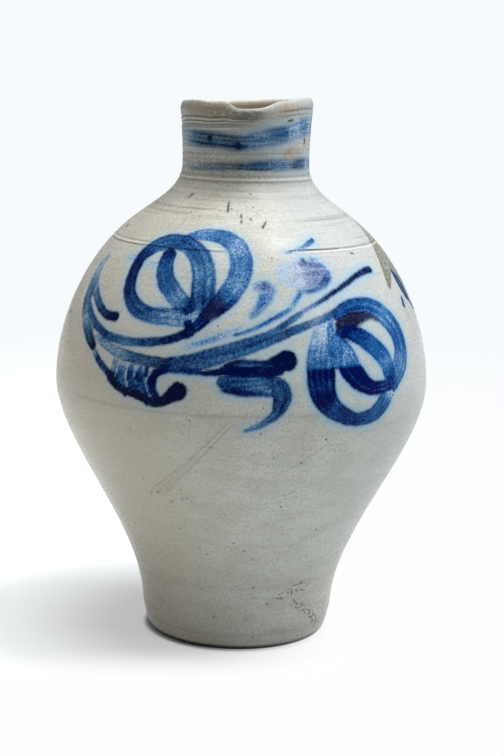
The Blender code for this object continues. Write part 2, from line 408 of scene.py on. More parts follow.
STEMS = (
    # The pale leaf on the left, and the two strands of the main stem.
    Stroke((
        (-54, 201, 2, 0.3), (-50, 198.3, 4.5, 0.46), (-44.5, 195, 6, 0.34), (-38, 193, 6.5, 0.56),
        (-31.5, 191.8, 6.5, 0.7), (-25.5, 191.6, 6, 0.92),
    ), grey=0.6, dry=0.2),
    Stroke((
        (-25, 193, 4, 0.74), (-19.5, 194.8, 4.8, 0.82), (-12, 199.2, 5.2, 0.66), (-4, 203.8, 5.6, 0.66),
        (2, 207.6, 5, 0.64), (6.5, 211.5, 4, 0.58), (11, 216.5, 3.5, 0.76), (15.5, 221, 3, 0.38),
    ), grey=0.3, dry=0.05),
    Stroke((
        (-25.5, 189.4, 4, 0.56), (-17, 191, 5.2, 0.72), (-11, 194.8, 5.6, 0.58), (-4.5, 199.5, 6, 0.58),
        (1.5, 203.8, 5.5, 0.56), (7.5, 208.2, 5, 0.72), (12.5, 212, 5, 0.8), (18, 215.3, 4.5, 0.36),
    ), grey=0.3, dry=0.05),
    Stroke(((17, 214.7, 4.5, 0.36), (23.5, 218.3, 4, 0.46), (28, 221, 4.5, 0.7)), violet=0.35, grey=0.3),
    Stroke(((-26, 188.9, 4.5, 0.52), (-21, 188.8, 4, 0.54), (-15, 188.3, 2.4, 0.6)), grey=0.35),
    # Thin lines: a dry one, the stalk of the bud, and the long one with a round tip.
    Stroke((
        (-20, 201.5, 2, 0.12), (-14, 205.3, 2.8, 0.4), (-8, 209.5, 2.8, 0.2), (-3, 213.3, 2, 0.15),
    ), dry=0.5),
    Stroke((
        (-5.2, 209.6, 1.6, 0.75), (0, 212.9, 2, 0.48), (5, 217.3, 2.2, 0.66), (9.5, 221.3, 2.4, 0.52),
        (12.5, 224.3, 2.4, 0.26), (14.5, 228.3, 2.4, 0.35), (16.5, 232, 2.6, 0.4),
    )),
    Stroke((
        (15, 221, 2.6, 0.36), (19, 224.3, 2.2, 0.34), (24, 228, 2.5, 0.78), (29, 231.8, 2.8, 0.95),
        (35, 235.6, 3, 1), (41, 239.3, 3.4, 0.96), (46.5, 241.4, 4, 0.98), (50, 242.2, 4.5, 1.02),
        (52, 242.2, 4.3, 0.98),
    ), violet=0.25, grey=0.25),
)

BUD = (
    # A small leaf, the bud with its drawn right edge, and the sprig above it.
    Stroke((
        (0, 219.5, 2, 0.4), (2.3, 224.5, 4.5, 0.46), (4.2, 229.5, 6.5, 0.46), (5.3, 234, 8, 0.32),
    ), violet=0.15, soft=0.8),
    Stroke(((2, 236, 4.5, 0.36), (4.6, 237, 4.5, 0.52), (6.2, 235.4, 4, 0.22)), violet=0.5, soft=0.8),
    Stroke(((13.5, 242.3, 11, 0.08), (16, 242.5, 14, 0.02)), soft=2.5, dry=0.5),
    Stroke((
        (18, 242.5, 15, 0.12), (21, 243, 16.5, 0.36), (25.5, 243, 13.5, 0.38),
    ), violet=0.6, soft=1.2, dry=0.1),
    Stroke((
        (16.5, 233.3, 2.6, 0.4), (21.5, 233.8, 2.8, 0.62), (25.5, 236.2, 3.6, 0.52),
        # The two pale touches on its right are thin colour and partly a painted highlight where glints fall.
        (28.5, 239.8, 4.2, 0.7), (29.6, 244, 3, 0.06), (27.8, 248, 3, 0.1), (24.5, 250.5, 2.6, 0.4),
    ), violet=0.3, soft=0.6),
    Stroke(((20.3, 250.2, 2.2, 0.85), (20.8, 250.2, 2.2, 0.85)), violet=0.4),
    Stroke((
        (14.5, 254.3, 1.6, 0.38), (19.5, 255.8, 2, 0.28), (24.5, 258.2, 2.6, 0.5),
        (28.5, 260.4, 3.2, 0.72),
    ), grey=0.2, dry=0.15),
)

CENTRE_LEAF = (
    Stroke((
        (-25.4, 187.7, 2.4, 0.76), (-14, 187.6, 3.2, 1.02), (-8, 188.8, 4.5, 1.08), (-2, 189, 5.5, 1.1),
        (4, 188.6, 5.5, 1.1), (8, 189.6, 5, 1.1),
    ), grey=0.15),
    Stroke((
        (-8.5, 190, 4, 0.95), (-5.5, 193, 5, 1.06), (-1, 193.3, 6, 0.8), (4, 193, 6, 0.9),
        (7.5, 194.5, 9, 1.25), (10.2, 195.5, 12, 1.25),
    ), grey=0.4),
    Stroke(((-8, 183, 7.5, 0.8), (-2, 182, 10.5, 0.66), (3, 181, 11, 0.5), (6.5, 180, 10, 0.55)), grey=0.3),
    Stroke((
        (-8, 178.8, 3.2, 0.82), (-5, 177.6, 3.4, 0.98), (-1, 176.6, 3.2, 0.96), (3, 176.6, 2.4, 0.66),
    ), grey=0.2, soft=0.3),
    Stroke((
        (4.5, 185, 6, 0.62), (7.6, 181.5, 9, 0.72), (8.7, 176, 10.5, 0.7), (8.2, 170, 9, 0.82),
        (6.9, 165, 6, 0.64), (4.5, 160.8, 4, 0.55), (1.5, 157.3, 3, 0.46), (-1.5, 155, 2, 0.5),
    ), grey=0.35),
)

RIGHT_FLOWER = (
    # The right ring and the dark, iron-stained band inside its top.
    Stroke((
        (29.3, 219.5, 9, 0.64), (33.5, 222, 10.5, 0.77), (39, 223, 11, 0.68), (44.5, 221, 12, 0.6),
        (49.5, 215.5, 13, 0.42), (53, 207.5, 13.5, 0.6), (54.1, 199.5, 13.5, 0.62),
        (53.4, 191.5, 13.5, 0.46), (51, 184.5, 13, 0.48), (47.8, 178, 11, 0.66),
    ), grey=0.1),
    Stroke((
        (29.5, 214, 8, 0.95), (33, 215, 9.5, 1), (37, 216.6, 7, 0.9), (41.5, 217.3, 4, 0.8),
        (45, 214.5, 2.6, 0.6),
    ), violet=0.5, grey=0.5, soft=0.8),
    # The upper petal.
    Stroke((
        (28.8, 209.8, 6.5, 1.05), (32, 209.3, 9, 0.93), (35.7, 206.5, 10.5, 0.84), (39.5, 201.6, 11, 0.62),
        (42.8, 196, 11.5, 0.63), (45, 190, 11.5, 0.4), (45.9, 184, 10, 0.6), (46, 178.5, 9, 0.26),
    )),
    # A thin wash, then the left ring, down the left side and round the bottom, and the lower petal.
    Stroke(((26.4, 211.5, 9, 0.34), (25.8, 200, 9, 1.1), (25.6, 193, 7, 0.8)), grey=0.5),
    Stroke((
        # Its pale second touch stands in for a glint: a painted highlight.
        (25, 217, 5, 0.4), (23.3, 211.5, 11, 0.11), (21.7, 204, 14, 0.46), (20.8, 196, 16.5, 0.85),
        (20.5, 188, 17, 1.1), (20.6, 180, 16.5, 0.88), (21.7, 173, 14.5, 1.1), (24, 167, 12, 0.8),
        (27.7, 161.8, 9.5, 0.85), (32, 158.9, 8, 0.81), (36.5, 159, 8.5, 0.72), (40.3, 162, 10, 0.66),
        (43.3, 167.5, 10.5, 0.55), (46, 174, 10, 0.1),
    ), grey=0.1),
    Stroke((
        (27.3, 205, 9, 0.84), (28.6, 198, 13, 0.54), (30, 190.5, 14, 1.1), (32.3, 184.5, 13.5, 1.1),
        (35.2, 179.3, 11, 1.15), (38.7, 176.2, 8.5, 1.15), (42.3, 175.8, 7.5, 0.92), (46, 177.3, 7, 0.86),
    )),
)

SIDE_LEAF = (
    # The leaf that turns out of sight, and the stalk that it is likely to have.
    Stroke((
        (70.4, 239, 1.6, 0.8), (71.4, 235.5, 7.5, 0.8), (72.8, 231, 11.5, 0.78), (74.4, 225.5, 11.5, 0.74),
        (76, 220.5, 6.5, 0.8), (77, 216.5, 2, 0.85),
    ), grey=0.7),
    Stroke((
        (76.4, 218.5, 2.6, 0.85), (80, 214, 3, 0.75), (85, 211.5, 3.4, 0.6), (91, 211, 3.2, 0.45),
        (96, 213, 2, 0.3),
    ), grey=0.5),
    Stroke(((65.9, 218.8, 3.6, 0.9), (66.7, 222.3, 3.5, 0.8)), grey=0.6),
)

NECK_BANDS = (
    # The upper band in two pulls, which meet in front under the lip.
    Stroke((
        (-180, 319, 6, 0.5), (-140, 319, 7, 0.5), (-100, 318.5, 8, 0.45), (-75, 318, 8.5, 0.26),
        (-60, 317.5, 9.5, 0.44), (-45, 316.6, 10, 0.74), (-30, 316, 9.5, 0.7), (-20, 315.2, 9, 0.74),
        (-10, 314.3, 8.5, 0.86), (-2, 314.4, 7, 0.44), (4, 314.8, 3, 0.05),
    ), grey=0.8, soft=1.8, dry=0.2),
    Stroke((
        (-9, 313.8, 5, 0.8), (0, 315.3, 8, 0.56), (10, 316.7, 8.5, 0.46), (20, 318, 9, 0.56),
        (30, 319.3, 9, 0.66), (40, 320.5, 8.5, 0.34), (50, 321.6, 8.5, 0.26), (60, 323, 9, 0.5),
        (70, 323.4, 9, 0.2), (85, 322.8, 8.5, 0.48), (130, 320.5, 7, 0.52), (180, 319, 6, 0.5),
    ), grey=0.35, soft=1.6, dry=0.35),
    # The lower band, a grey smear on the left and blue on the right.
    Stroke((
        (-180, 301, 4, 0.25), (-120, 301, 3.5, 0.2), (-64, 300.6, 3, 0.26), (-35, 300.9, 3.5, 0.56),
        (-15, 300.9, 4, 0.68), (0, 301.2, 4.5, 0.6), (8, 301.5, 3, 0.5),
    ), violet=0.4, grey=1, soft=1.2, dry=0.3),
    Stroke((
        (-6, 301, 3, 0.6), (5, 301.4, 5, 0.7), (20, 301.8, 5.5, 0.54), (32, 301.8, 5.5, 0.44),
        (40, 301.6, 4.5, 0.5), (48, 301.8, 5.5, 0.79), (58, 302.2, 6, 0.6), (68, 302, 6, 0.25),
        (90, 301.5, 5, 0.55), (120, 301, 4, 0.5), (180, 301, 4, 0.25),
    ), grey=0.6, soft=1.2, dry=0.2),
    Stroke((
        (-60, 298.7, 1.6, 0.48), (-30, 298.8, 1.8, 0.42), (0, 299, 1.6, 0.12), (20, 299.4, 1.5, 0.35),
    ), grey=1, soft=0.5),
    # Dark runs where the bands pooled.
    Stroke(((-36.5, 317.3, 3.2, 1.1), (-36, 314.3, 2.4, 0.55)), grey=0.6, soft=0.8),
    Stroke(((-10.5, 313.2, 3.6, 0.92), (-8, 311, 2.6, 0.85)), grey=0.5, soft=0.8),
)

BRUSHWORK = (
    LEFT_FLOWER + LEFT_SPRAY + COMB_LEAF + STEMS + BUD + CENTRE_LEAF + RIGHT_FLOWER + SIDE_LEAF + NECK_BANDS
)

# Brown-black marks burnt into the glaze: short straws on the shoulder, spots, and a pair of scratches.
# Each touch is (degrees, millimetres up, width), since the burnt colour is always full.
IRON_MARKS = tuple(
    Stroke(tuple((*touch, 1) for touch in mark))
    for mark in (
        ((-13.9, 280.5, 1.3), (-13.2, 275.5, 1.5)),
        ((-5, 274, 1.3), (-4.8, 272.6, 1.3)),
        ((-4.7, 271.2, 1.3), (-4.5, 269.6, 1.3)),
        ((0, 272.3, 1.2), (0.9, 271.3, 1.2)),
        ((6, 267.5, 1.5), (8.3, 270.5, 1.3)),
        ((-47.8, 281.5, 1), (-44.5, 284.5, 1)),
        ((-47, 284, 0.9), (-45, 281.8, 0.9)),
        ((46, 252.2, 1.2), (47.2, 251.8, 1.4)),
        ((-36.2, 221.2, 1.4), (-34.8, 220.8, 1.5)),
        ((15.5, 255.2, 0.7), (18.5, 255.3, 0.8)),
        ((20, 255.3, 0.9), (26, 255.5, 1), (33, 255.4, 0.7), (40, 255.4, 0.4)),
        ((-80.6, 208, 3), (-80, 208.4, 3)),
        ((-78.6, 262, 2.6), (-78.2, 262.3, 2.6)),
        ((35, 327.2, 1.2), (40.5, 327.6, 1.6)),
        ((52.3, 327.8, 1), (53, 327.8, 1)),
        ((60, 315.5, 2), (61, 314, 2)),
    )
)

# Tan stains on the collar, the shoulder and the belly.
STAINS = (
    Stroke(((-56, 335, 6, 0.7), (-38, 334, 9, 0.95), (-20, 332.5, 8, 0.85))),
    Stroke(((20, 333, 5, 0.3), (30, 334.5, 8, 0.65), (44, 334.5, 6, 0.55))),
    Stroke(((38, 306, 9.5, 1.3), (46, 306.2, 9.5, 1.3))),
    Stroke(((57.5, 316.5, 4, 1), (59.5, 314.5, 4, 1))),
    Stroke(((66, 215, 5, 0.6), (66.5, 211, 6, 0.5))),
    Stroke(((72.5, 252.5, 4, 0.9), (74.5, 250.5, 4, 0.9))),
)
# Painted shade under the lip, mottled, with a weaker darkening that runs left along the top of the collar.
LIP_SHADE = (
    Stroke(((-15, 333, 7, 0.9), (-6, 333, 10, 1.2), (4, 333, 10, 0.9), (12, 333, 7, 0.35))),
    Stroke(((-70, 333, 14, 0.26), (-40, 332, 14, 0.34), (-16, 330, 12, 0.4))),
    Stroke(((-12, 325, 7, 0.25), (6, 324.5, 7, 0.2), (18, 325.5, 5, 0))),
)

# A tongue of thicker, olive-grey glaze that ran down the right of the shoulder.
GLAZE_RUN = (
    Stroke((
        (60.3, 231.5, 3, 1), (62.8, 236.5, 7, 1), (67.5, 243, 13, 1), (75, 250, 21, 1), (83, 257, 24, 0.8),
        (90, 263, 26, 0.3), (96, 267, 26, 0),
    )),
    Stroke(((71.5, 247, 13, 1), (75.5, 241.5, 13, 1), (79.5, 235, 10, 1), (82.5, 228, 4, 1))),
)

# Where the glaze is pitted and scraped near the foot.
SCARS = (
    Stroke(((15.5, 32, 4, 1), (21, 35.5, 5, 1), (28, 38.5, 6.5, 1), (36, 42, 9, 1))),
    Stroke(((31, 31, 4.5, 1), (38, 26, 6, 1), (46, 19, 6, 1), (55, 11, 4.5, 1))),
    Stroke(((-36.5, 108, 3, 0.7), (-31, 109.5, 4, 0.6), (-28, 110.5, 3, 0.5))),
    Stroke(((-29, 103.5, 3, 0.6), (-20, 106, 4, 0.6))),
)

# The marks that aren't cobalt or iron, the painted shade under the lip among them, each with the millimetres
# over which its edge fades.
MARKS = {"scar": (SCARS, 2.4), "stain": (STAINS, 4.0), "grime": (LIP_SHADE, 6.0), "run": (GLAZE_RUN, 1.6)}


class Columns(Enum):
    """How closely a ring of the mesh is divided, as (degrees apart in front, degrees apart behind)."""

    FINE = (0.60, 3.0)
    MEDIUM = (1.4, 3.0)
    COARSE = (4.0, 4.0)

    def angles(self) -> Array:
        """Divides a ring, from one side of the front round behind it.

        Returns:
            The angles of the columns, in degrees.
        """
        ends = (-FRONT_REACH, FRONT_REACH, 360.0 - FRONT_REACH)
        parts = []
        for start, end, step in zip(ends, ends[1:], self.value):
            parts.append(np.linspace(start, end, round((end - start) / step), endpoint=False))
        return np.concatenate(parts)


@dataclass(frozen=True)
class Camera:
    """Where the picture was taken from, worked out from the pot's outline in it."""

    bearing: float = -3.0
    distance: float = 1093.0
    height: float = 374.4
    pitch: float = 10.93
    roll: float = 1.23
    axis_column: float = 241.2
    focal_pixels: float = 1729.0
    sensor: float = 36.0

    def make(self) -> None:
        """Adds the camera and makes it the scene's own."""
        data = bpy.data.cameras.new("camera")
        data.sensor_width = self.sensor
        data.lens = self.focal_pixels / PHOTO_HEIGHT * self.sensor
        camera = add_object("camera", data)
        turn = math.radians(self.bearing)
        aside = math.atan((PHOTO_WIDTH / 2 - self.axis_column) / self.focal_pixels)
        place = Vector((math.sin(turn) * self.distance, -math.cos(turn) * self.distance, self.height)) * MM
        camera.matrix_world = (
            Matrix.Translation(place)
            @ Matrix.Rotation(turn, 4, "Z")
            @ Matrix.Rotation(math.radians(90.0 - self.pitch), 4, "X")
            @ Matrix.Rotation(math.radians(self.roll), 4, "Z")
            @ Matrix.Rotation(-aside, 4, "Y")
        )
        bpy.context.scene.camera = camera


@dataclass(frozen=True)
class ToolLine:
    """A line that the potter's rib cut into the turning clay, fading at both ends.

    A depth under zero is a raised line. Middle, reach and fade are degrees round the pot.
    """

    height: float
    depth: float
    half_width: float
    middle: float = 0.0
    reach: float = 400.0
    fade: float = 14.0

    def cut(self, degrees: Array, height: Array) -> Array:
        """How deep the line cuts at each place, in millimetres."""
        shown = smooth((self.reach - np.abs(bearing_of(degrees - self.middle))) / self.fade)
        return self.depth * bump(height, self.height, self.half_width) * shown


TOOL_LINES = (
    # Rib lines on the collar, most of them left of the lip.
    ToolLine(330.2, 0.45, 0.45, -48, 60),
    ToolLine(329.2, -0.25, 0.4, -52, 56),
    ToolLine(327.6, 0.45, 0.4, -52, 60),
    ToolLine(326.7, -0.2, 0.4, -54, 56),
    ToolLine(325.5, 0.4, 0.4, -54, 62),
    ToolLine(323.9, 0.3, 0.4, -52, 64),
    ToolLine(322.8, -0.35, 0.45, -58, 50),
    ToolLine(333.4, 0.4, 0.6, 62, 44),
    ToolLine(330.2, 0.3, 0.5, 44, 26),
    ToolLine(310.8, -0.2, 0.6, -62, 46),
    ToolLine(308, 0.2, 0.6, -20, 90),
    ToolLine(304.8, 0.15, 0.6),
    # The raised line at the foot of the collar.
    ToolLine(295.2, 0.2, 0.7),
    ToolLine(293.2, -0.45, 0.38),
    ToolLine(291.6, 0.2, 0.8),
    # Fine lines on the shoulder, and the pair cut round it, which fades in front.
    ToolLine(287.2, 0.1, 0.6, -40, 80),
    ToolLine(283.6, 0.12, 0.6),
    ToolLine(276.2, 0.25, 0.6, -72, 52),
    ToolLine(273.6, 0.22, 0.6, -76, 46),
    ToolLine(271, 0.2, 0.6, 72, 50),
    ToolLine(256.4, 0.22, 0.42, -100, 86),
    ToolLine(255.3, -0.38, 0.42, -100, 98),
    ToolLine(254.2, 0.34, 0.42, -100, 96),
    ToolLine(255.4, 0.34, 0.38, 100, 89),
    ToolLine(254.3, -0.25, 0.42, 100, 84),
    # Faint lines lower down, and the one where the wall meets the table.
    ToolLine(163, 0.15, 0.8, -10, 60),
    ToolLine(43, 0.05, 2.5),
    ToolLine(11, 0.1, 1.2),
    ToolLine(1.2, 0.35, 0.9),
)


@dataclass(frozen=True)
class Lip:
    """The pouring lip, pulled forward and down between two fingers, steeper on its left."""

    reach: float = 7.5
    drop: float = 6.0
    left_angle: float = 17.5
    left_sharpness: float = 4.0
    right_angle: float = 20.0
    right_sharpness: float = 2.6
    sag: float = 1.7
    sag_angle: float = 32.0
    sag_spread: float = 18.0
    thinning: float = 2.2
    blend_height: float = 30.0
    side_ease: float = 1.0
    side_angle: float = 52.0
    side_spread: float = 16.0

    def pull(
        self, radius: Array, height: Array, degrees: Array, inside: Array, top: float
    ) -> tuple[Array, Array]:
        """Moves points of the turned rim to where the lip pulled them.

        Args:
            radius: Distance from the axis.
            height: Height above the table.
            degrees: Angle round from the lip.
            inside: 0 on the outer face and 1 on the inner one, which follows further and thins the lip.
            top: Height of the rim.

        Returns:
            The new radius and height.
        """
        bearing = bearing_of(degrees)
        away = np.abs(bearing)
        rise = ramp(height, top - self.blend_height, top)
        angle = np.where(bearing < 0.0, self.left_angle, self.right_angle)
        sharpness = np.where(bearing < 0.0, self.left_sharpness, self.right_sharpness)
        front = np.exp(-((away / angle) ** sharpness))
        side = self.side_ease * bump(away, self.side_angle, self.side_spread)
        sag = self.sag * bump(away, self.sag_angle, self.sag_spread)
        out = (self.reach + self.thinning * inside) * front * rise**2 - side * rise
        return radius + out, height - self.drop * front * rise**3 - sag * rise


@dataclass
class Paint:
    """What lies on the wall at each place.

    Edge is how far inside a stroke the place is in millimetres, below zero outside. Depth is the colour's
    depth, violet and grey its turn from blue, soft how far the edge fades, and dry how streaky it is.
    Overlap is how much a second coat adds, and the wet edge is the width over which it sets in.
    """

    edge: Array
    depth: Array
    violet: Array
    grey: Array
    soft: Array
    dry: Array
    overlap: float = 0.55
    wet_edge: float = 0.8

    def add(self, part: Array, inside: Array, tone: Array, stroke: Stroke) -> None:
        """Lets a stroke's colour add to the colour under it.

        Args:
            part: Which places the stroke touches.
            inside: How far inside the stroke they are.
            tone: The stroke's own colour there.
            stroke: The stroke, for its violet, its grey, its softness and its dryness.
        """
        before = self.depth[part]
        painted = self.edge[part] > 0.0
        both = np.maximum(tone, 1.0 - (1.0 - before) * (1.0 - self.overlap * tone))
        wet = within(inside, self.wet_edge)
        closer = inside > self.edge[part]
        over = before + (both - before) * wet
        self.depth[part] = np.where(painted, over, np.where(closer, tone, before))
        turn = np.where(closer & ~painted, 1.0, wet)
        for name in ("violet", "grey", "soft", "dry"):
            held = getattr(self, name)
            held[part] += (getattr(stroke, name) - held[part]) * turn
        self.edge[part] = np.maximum(self.edge[part], inside)


@dataclass
class Brushwork:
    """Brush strokes laid on the wall, worked out at any set of places on it."""

    shape: WallShape
    strokes: tuple[Stroke, ...]
    creep: float = 0.0
    seed: int = 11
    per_span: int = 32
    bristles: int = 4
    bristle_pitch: Span = (5.0, 19.0)
    bristle_drift: float = 0.05
    streaks: float = 0.30
    pool: float = 0.11
    pool_edge: Span = (0.5, 0.95)
    pool_level: float = 0.4
    fullest: float = 1.2
    thinnest: float = 0.2
    slack: float = 4.0
    most_pairs: int = 4_000_000

    def paint(self, degrees: Array, height: Array) -> Paint:
        """Lays every stroke in turn.

        Args:
            degrees: Angle of each place round from the lip.
            height: Height of each place.

        Returns:
            The paint at each place.
        """
        bearing = bearing_of(degrees)
        places = self.shape.place(bearing, height)
        paint = Paint(np.full(len(places), -PAINT_REACH), *np.zeros((5, len(places))))
        chance = np.random.default_rng(self.seed)
        for stroke in self.strokes:
            self.lay(stroke, chance, bearing, places, paint)
        return paint

    def lay(
        self, stroke: Stroke, chance: np.random.Generator, bearing: Array, places: Array, paint: Paint
    ) -> None:
        """Lays one stroke over what is already there.

        Args:
            stroke: The stroke.
            chance: Where the bristles' spacing comes from.
            bearing: Angle of each place round from the lip.
            places: The places on the wall.
            paint: The paint so far; changed here.
        """
        pitches = chance.uniform(*self.bristle_pitch, self.bristles)
        phases = chance.uniform(0.0, math.tau, self.bristles)
        drifts = chance.uniform(-self.bristle_drift, self.bristle_drift, self.bristles)
        line = spline(np.array(stroke.touches, float), self.per_span)
        degrees, heights, widths, tones = line.T
        middle = self.shape.place(degrees, heights)
        outward = middle * (1.0, 1.0, 0.0)
        aside = unit(np.cross(unit(np.gradient(middle, axis=0)), outward))
        along = travelled(middle)

        margin = PAINT_REACH + widths.max() / 2
        turn_margin = math.degrees(margin / np.linalg.norm(outward, axis=1).min())
        near = np.abs(places[:, 2] - heights.mean()) < np.ptp(heights) / 2 + margin + self.slack
        near &= bearing > degrees.min() - turn_margin
        near &= bearing < degrees.max() + turn_margin
        index = np.flatnonzero(near)
        for part in np.array_split(index, max(1, len(index) * len(line) // self.most_pairs)):
            here = places[part]
            squares = (here**2).sum(1)[:, None] + (middle**2).sum(1)[None] - 2.0 * here @ middle.T
            nearest = squares.argmin(1)
            away = np.sqrt(np.maximum(squares[np.arange(len(part)), nearest], 0.0))
            half = np.maximum(widths[nearest] / 2, self.thinnest) * (1.0 + self.creep)
            across = ((here - middle[nearest]) * aside[nearest]).sum(1) / half
            load = np.ones(len(part))
            for pitch, phase, drift in zip(pitches, phases, drifts):
                hair = np.sin(across * pitch + phase + along[nearest] * drift)
                load += self.streaks * hair / self.bristles
            pooled = ramp(np.abs(across), *self.pool_edge) - self.pool_level
            tone = np.clip(tones[nearest] * load + self.pool * pooled, 0.0, self.fullest)
            paint.add(part, half - away, tone, stroke)


def add_node(
    tree: Tree, kind: str, settings: dict | None = None, links: dict | None = None, output: int | str = 0
) -> Socket:
    """Adds one node to a tree.

    Args:
        tree: The node tree of a material or the world.
        kind: The type of node, without the ShaderNode in front.
        settings: Values by property name, or by the input's name or number; stops are a colour ramp's.
        links: The sockets that feed the inputs, by the input's name or number.
        output: Which of its outputs is wanted.

    Returns:
        That output.
    """
    node = tree.nodes.new("ShaderNode" + kind)
    for name, value in (settings or {}).items():
        if name == "stops":
            for place, _ in value[1:-1]:
                node.color_ramp.elements.new(place)
            for stop, (place, colour) in zip(node.color_ramp.elements, value):
                stop.position = place
                stop.color = linear(colour)
        elif isinstance(name, str) and name in node.bl_rna.properties:
            setattr(node, name, value)
        else:
            node.inputs[name].default_value = value
    for name, socket in (links or {}).items():
        tree.links.new(socket, node.inputs[name])
    return node.outputs[output] if node.outputs else None


@dataclass(frozen=True)
class Pattern:
    """Soft random blotches: their size in millimetres, what part of them shows, and how flat they lie."""

    size: float
    low: float
    high: float
    detail: float = 3.0
    flat: float = 1.0


@dataclass(frozen=True)
class Spots:
    """Round spots: how far apart they may lie in millimetres, their size as a share of that, and how few."""

    spacing: float
    share: float
    few: float


@dataclass(frozen=True)
class Scratch:
    """A straight scratch between two places on the wall, each in degrees round from the lip and height."""

    start: Span
    end: Span
    half_width: float
    strength: float
    fading: float = 0.3

    def mask(self, tree: Tree, place: Socket, shape: WallShape) -> Socket:
        """Where the scratch shows: in the plane that cuts the wall along it, between its ends.

        Args:
            tree: The material's nodes.
            place: The place that is shaded.
            shape: The wall that it lies on.

        Returns:
            Its strength there.
        """
        node = partial(add_node, tree)
        first, last = shape.place(*np.array([self.start, self.end]).T) * MM
        middle = (first + last) / 2
        half = float(np.linalg.norm(last - first)) / 2
        across = unit(np.cross(last - first, middle * (1.0, 1.0, 0.0))[None])[0]
        away = node("VectorMath", {"operation": "DISTANCE", 1: tuple(middle)}, {0: place}, "Value")
        fade = node("MapRange", {1: half, 2: half * (1.0 - self.fading), 4: self.strength}, {0: away})
        aside = node("VectorMath", {"operation": "DOT_PRODUCT", 1: tuple(across)}, {0: place}, "Value")
        near = {"operation": "COMPARE", 1: float(across @ middle), 2: self.half_width * MM}
        return node("Math", TIMES, {0: fade, 1: node("Math", near, {0: aside})})


@dataclass(frozen=True)
class Layer:
    """A colour laid over the clay where a mask shows, broken up by a second mask."""

    colour: str
    mask: str
    amount: float = 1.0
    broken: str = ""


# The orange peel is drawn at twice its true size, and the grain at three times, or neither would show.
PATTERNS = {
    "clouds": Pattern(24.0, 0.36, 0.64, 5.0, 2.5),
    "streaks": Pattern(14.0, 0.52, 0.72, flat=10.0),
    "scratches": Pattern(70.0, 0.56, 0.68, flat=90.0),
    "peel": Pattern(1.7, 0.25, 0.75, 2.0),
    "dimples": Pattern(1.7, 0.46, 0.28, 2.0),
    "grain": Pattern(0.9, 0.50, 0.72, 2.0),
    "blotches": Pattern(3.0, 0.26, 0.52),
    "crumbs": Pattern(2.0, 0.48, 0.60),
    "burnt": Pattern(1.1, 0.30, 0.46, 2.0),
    "ragged": Pattern(5.0, 0.2, 0.8, 2.0),
    "fringe": Pattern(1.4, 0.2, 0.8, 2.0),
    "blots": Pattern(6.0, 0.25, 0.75),
    "mottle": Pattern(1.3, 0.25, 0.75),
    "bristles": Pattern(30.0, 0.42, 0.70, flat=20.0),
}
SPOTS = {"specks": Spots(6.5, 0.13, 0.55), "pinholes": Spots(2.8, 0.15, 0.50)}
# A double scrape that slants down the belly into a smear, and the thin lines on its right.
SCRATCHES = (
    Scratch((-5.0, 162.5), (-20.8, 129.5), 0.35, 0.34),
    Scratch((-4.3, 160.5), (-18.3, 129.0), 0.35, 0.34),
    Scratch((-14.0, 140.0), (-32.0, 108.0), 2.8, 0.13),
    Scratch((-18.6, 134.0), (-36.0, 108.8), 0.45, 0.28),
    Scratch((-16.4, 133.0), (-29.5, 109.0), 0.40, 0.22),
    Scratch((27.0, 150.0), (13.0, 129.5), 0.32, 0.34),
    Scratch((15.4, 132.5), (7.4, 124.0), 0.32, 0.26),
    Scratch((17.4, 114.0), (11.6, 110.9), 0.32, 0.40),
)
# Values that the pot's mesh carries; where a mesh has none, nothing shows.
CARRIED = (
    "cobalt_edge", "cobalt_depth", "cobalt_violet", "cobalt_grey", "cobalt_soft", "cobalt_dry", "iron",
    "scar", "stain", "grime", "run", "run_rim", "soil", "worn", "turned", "lining", "warm_side",
    "cool_side", "smoked", "foot_line",
)


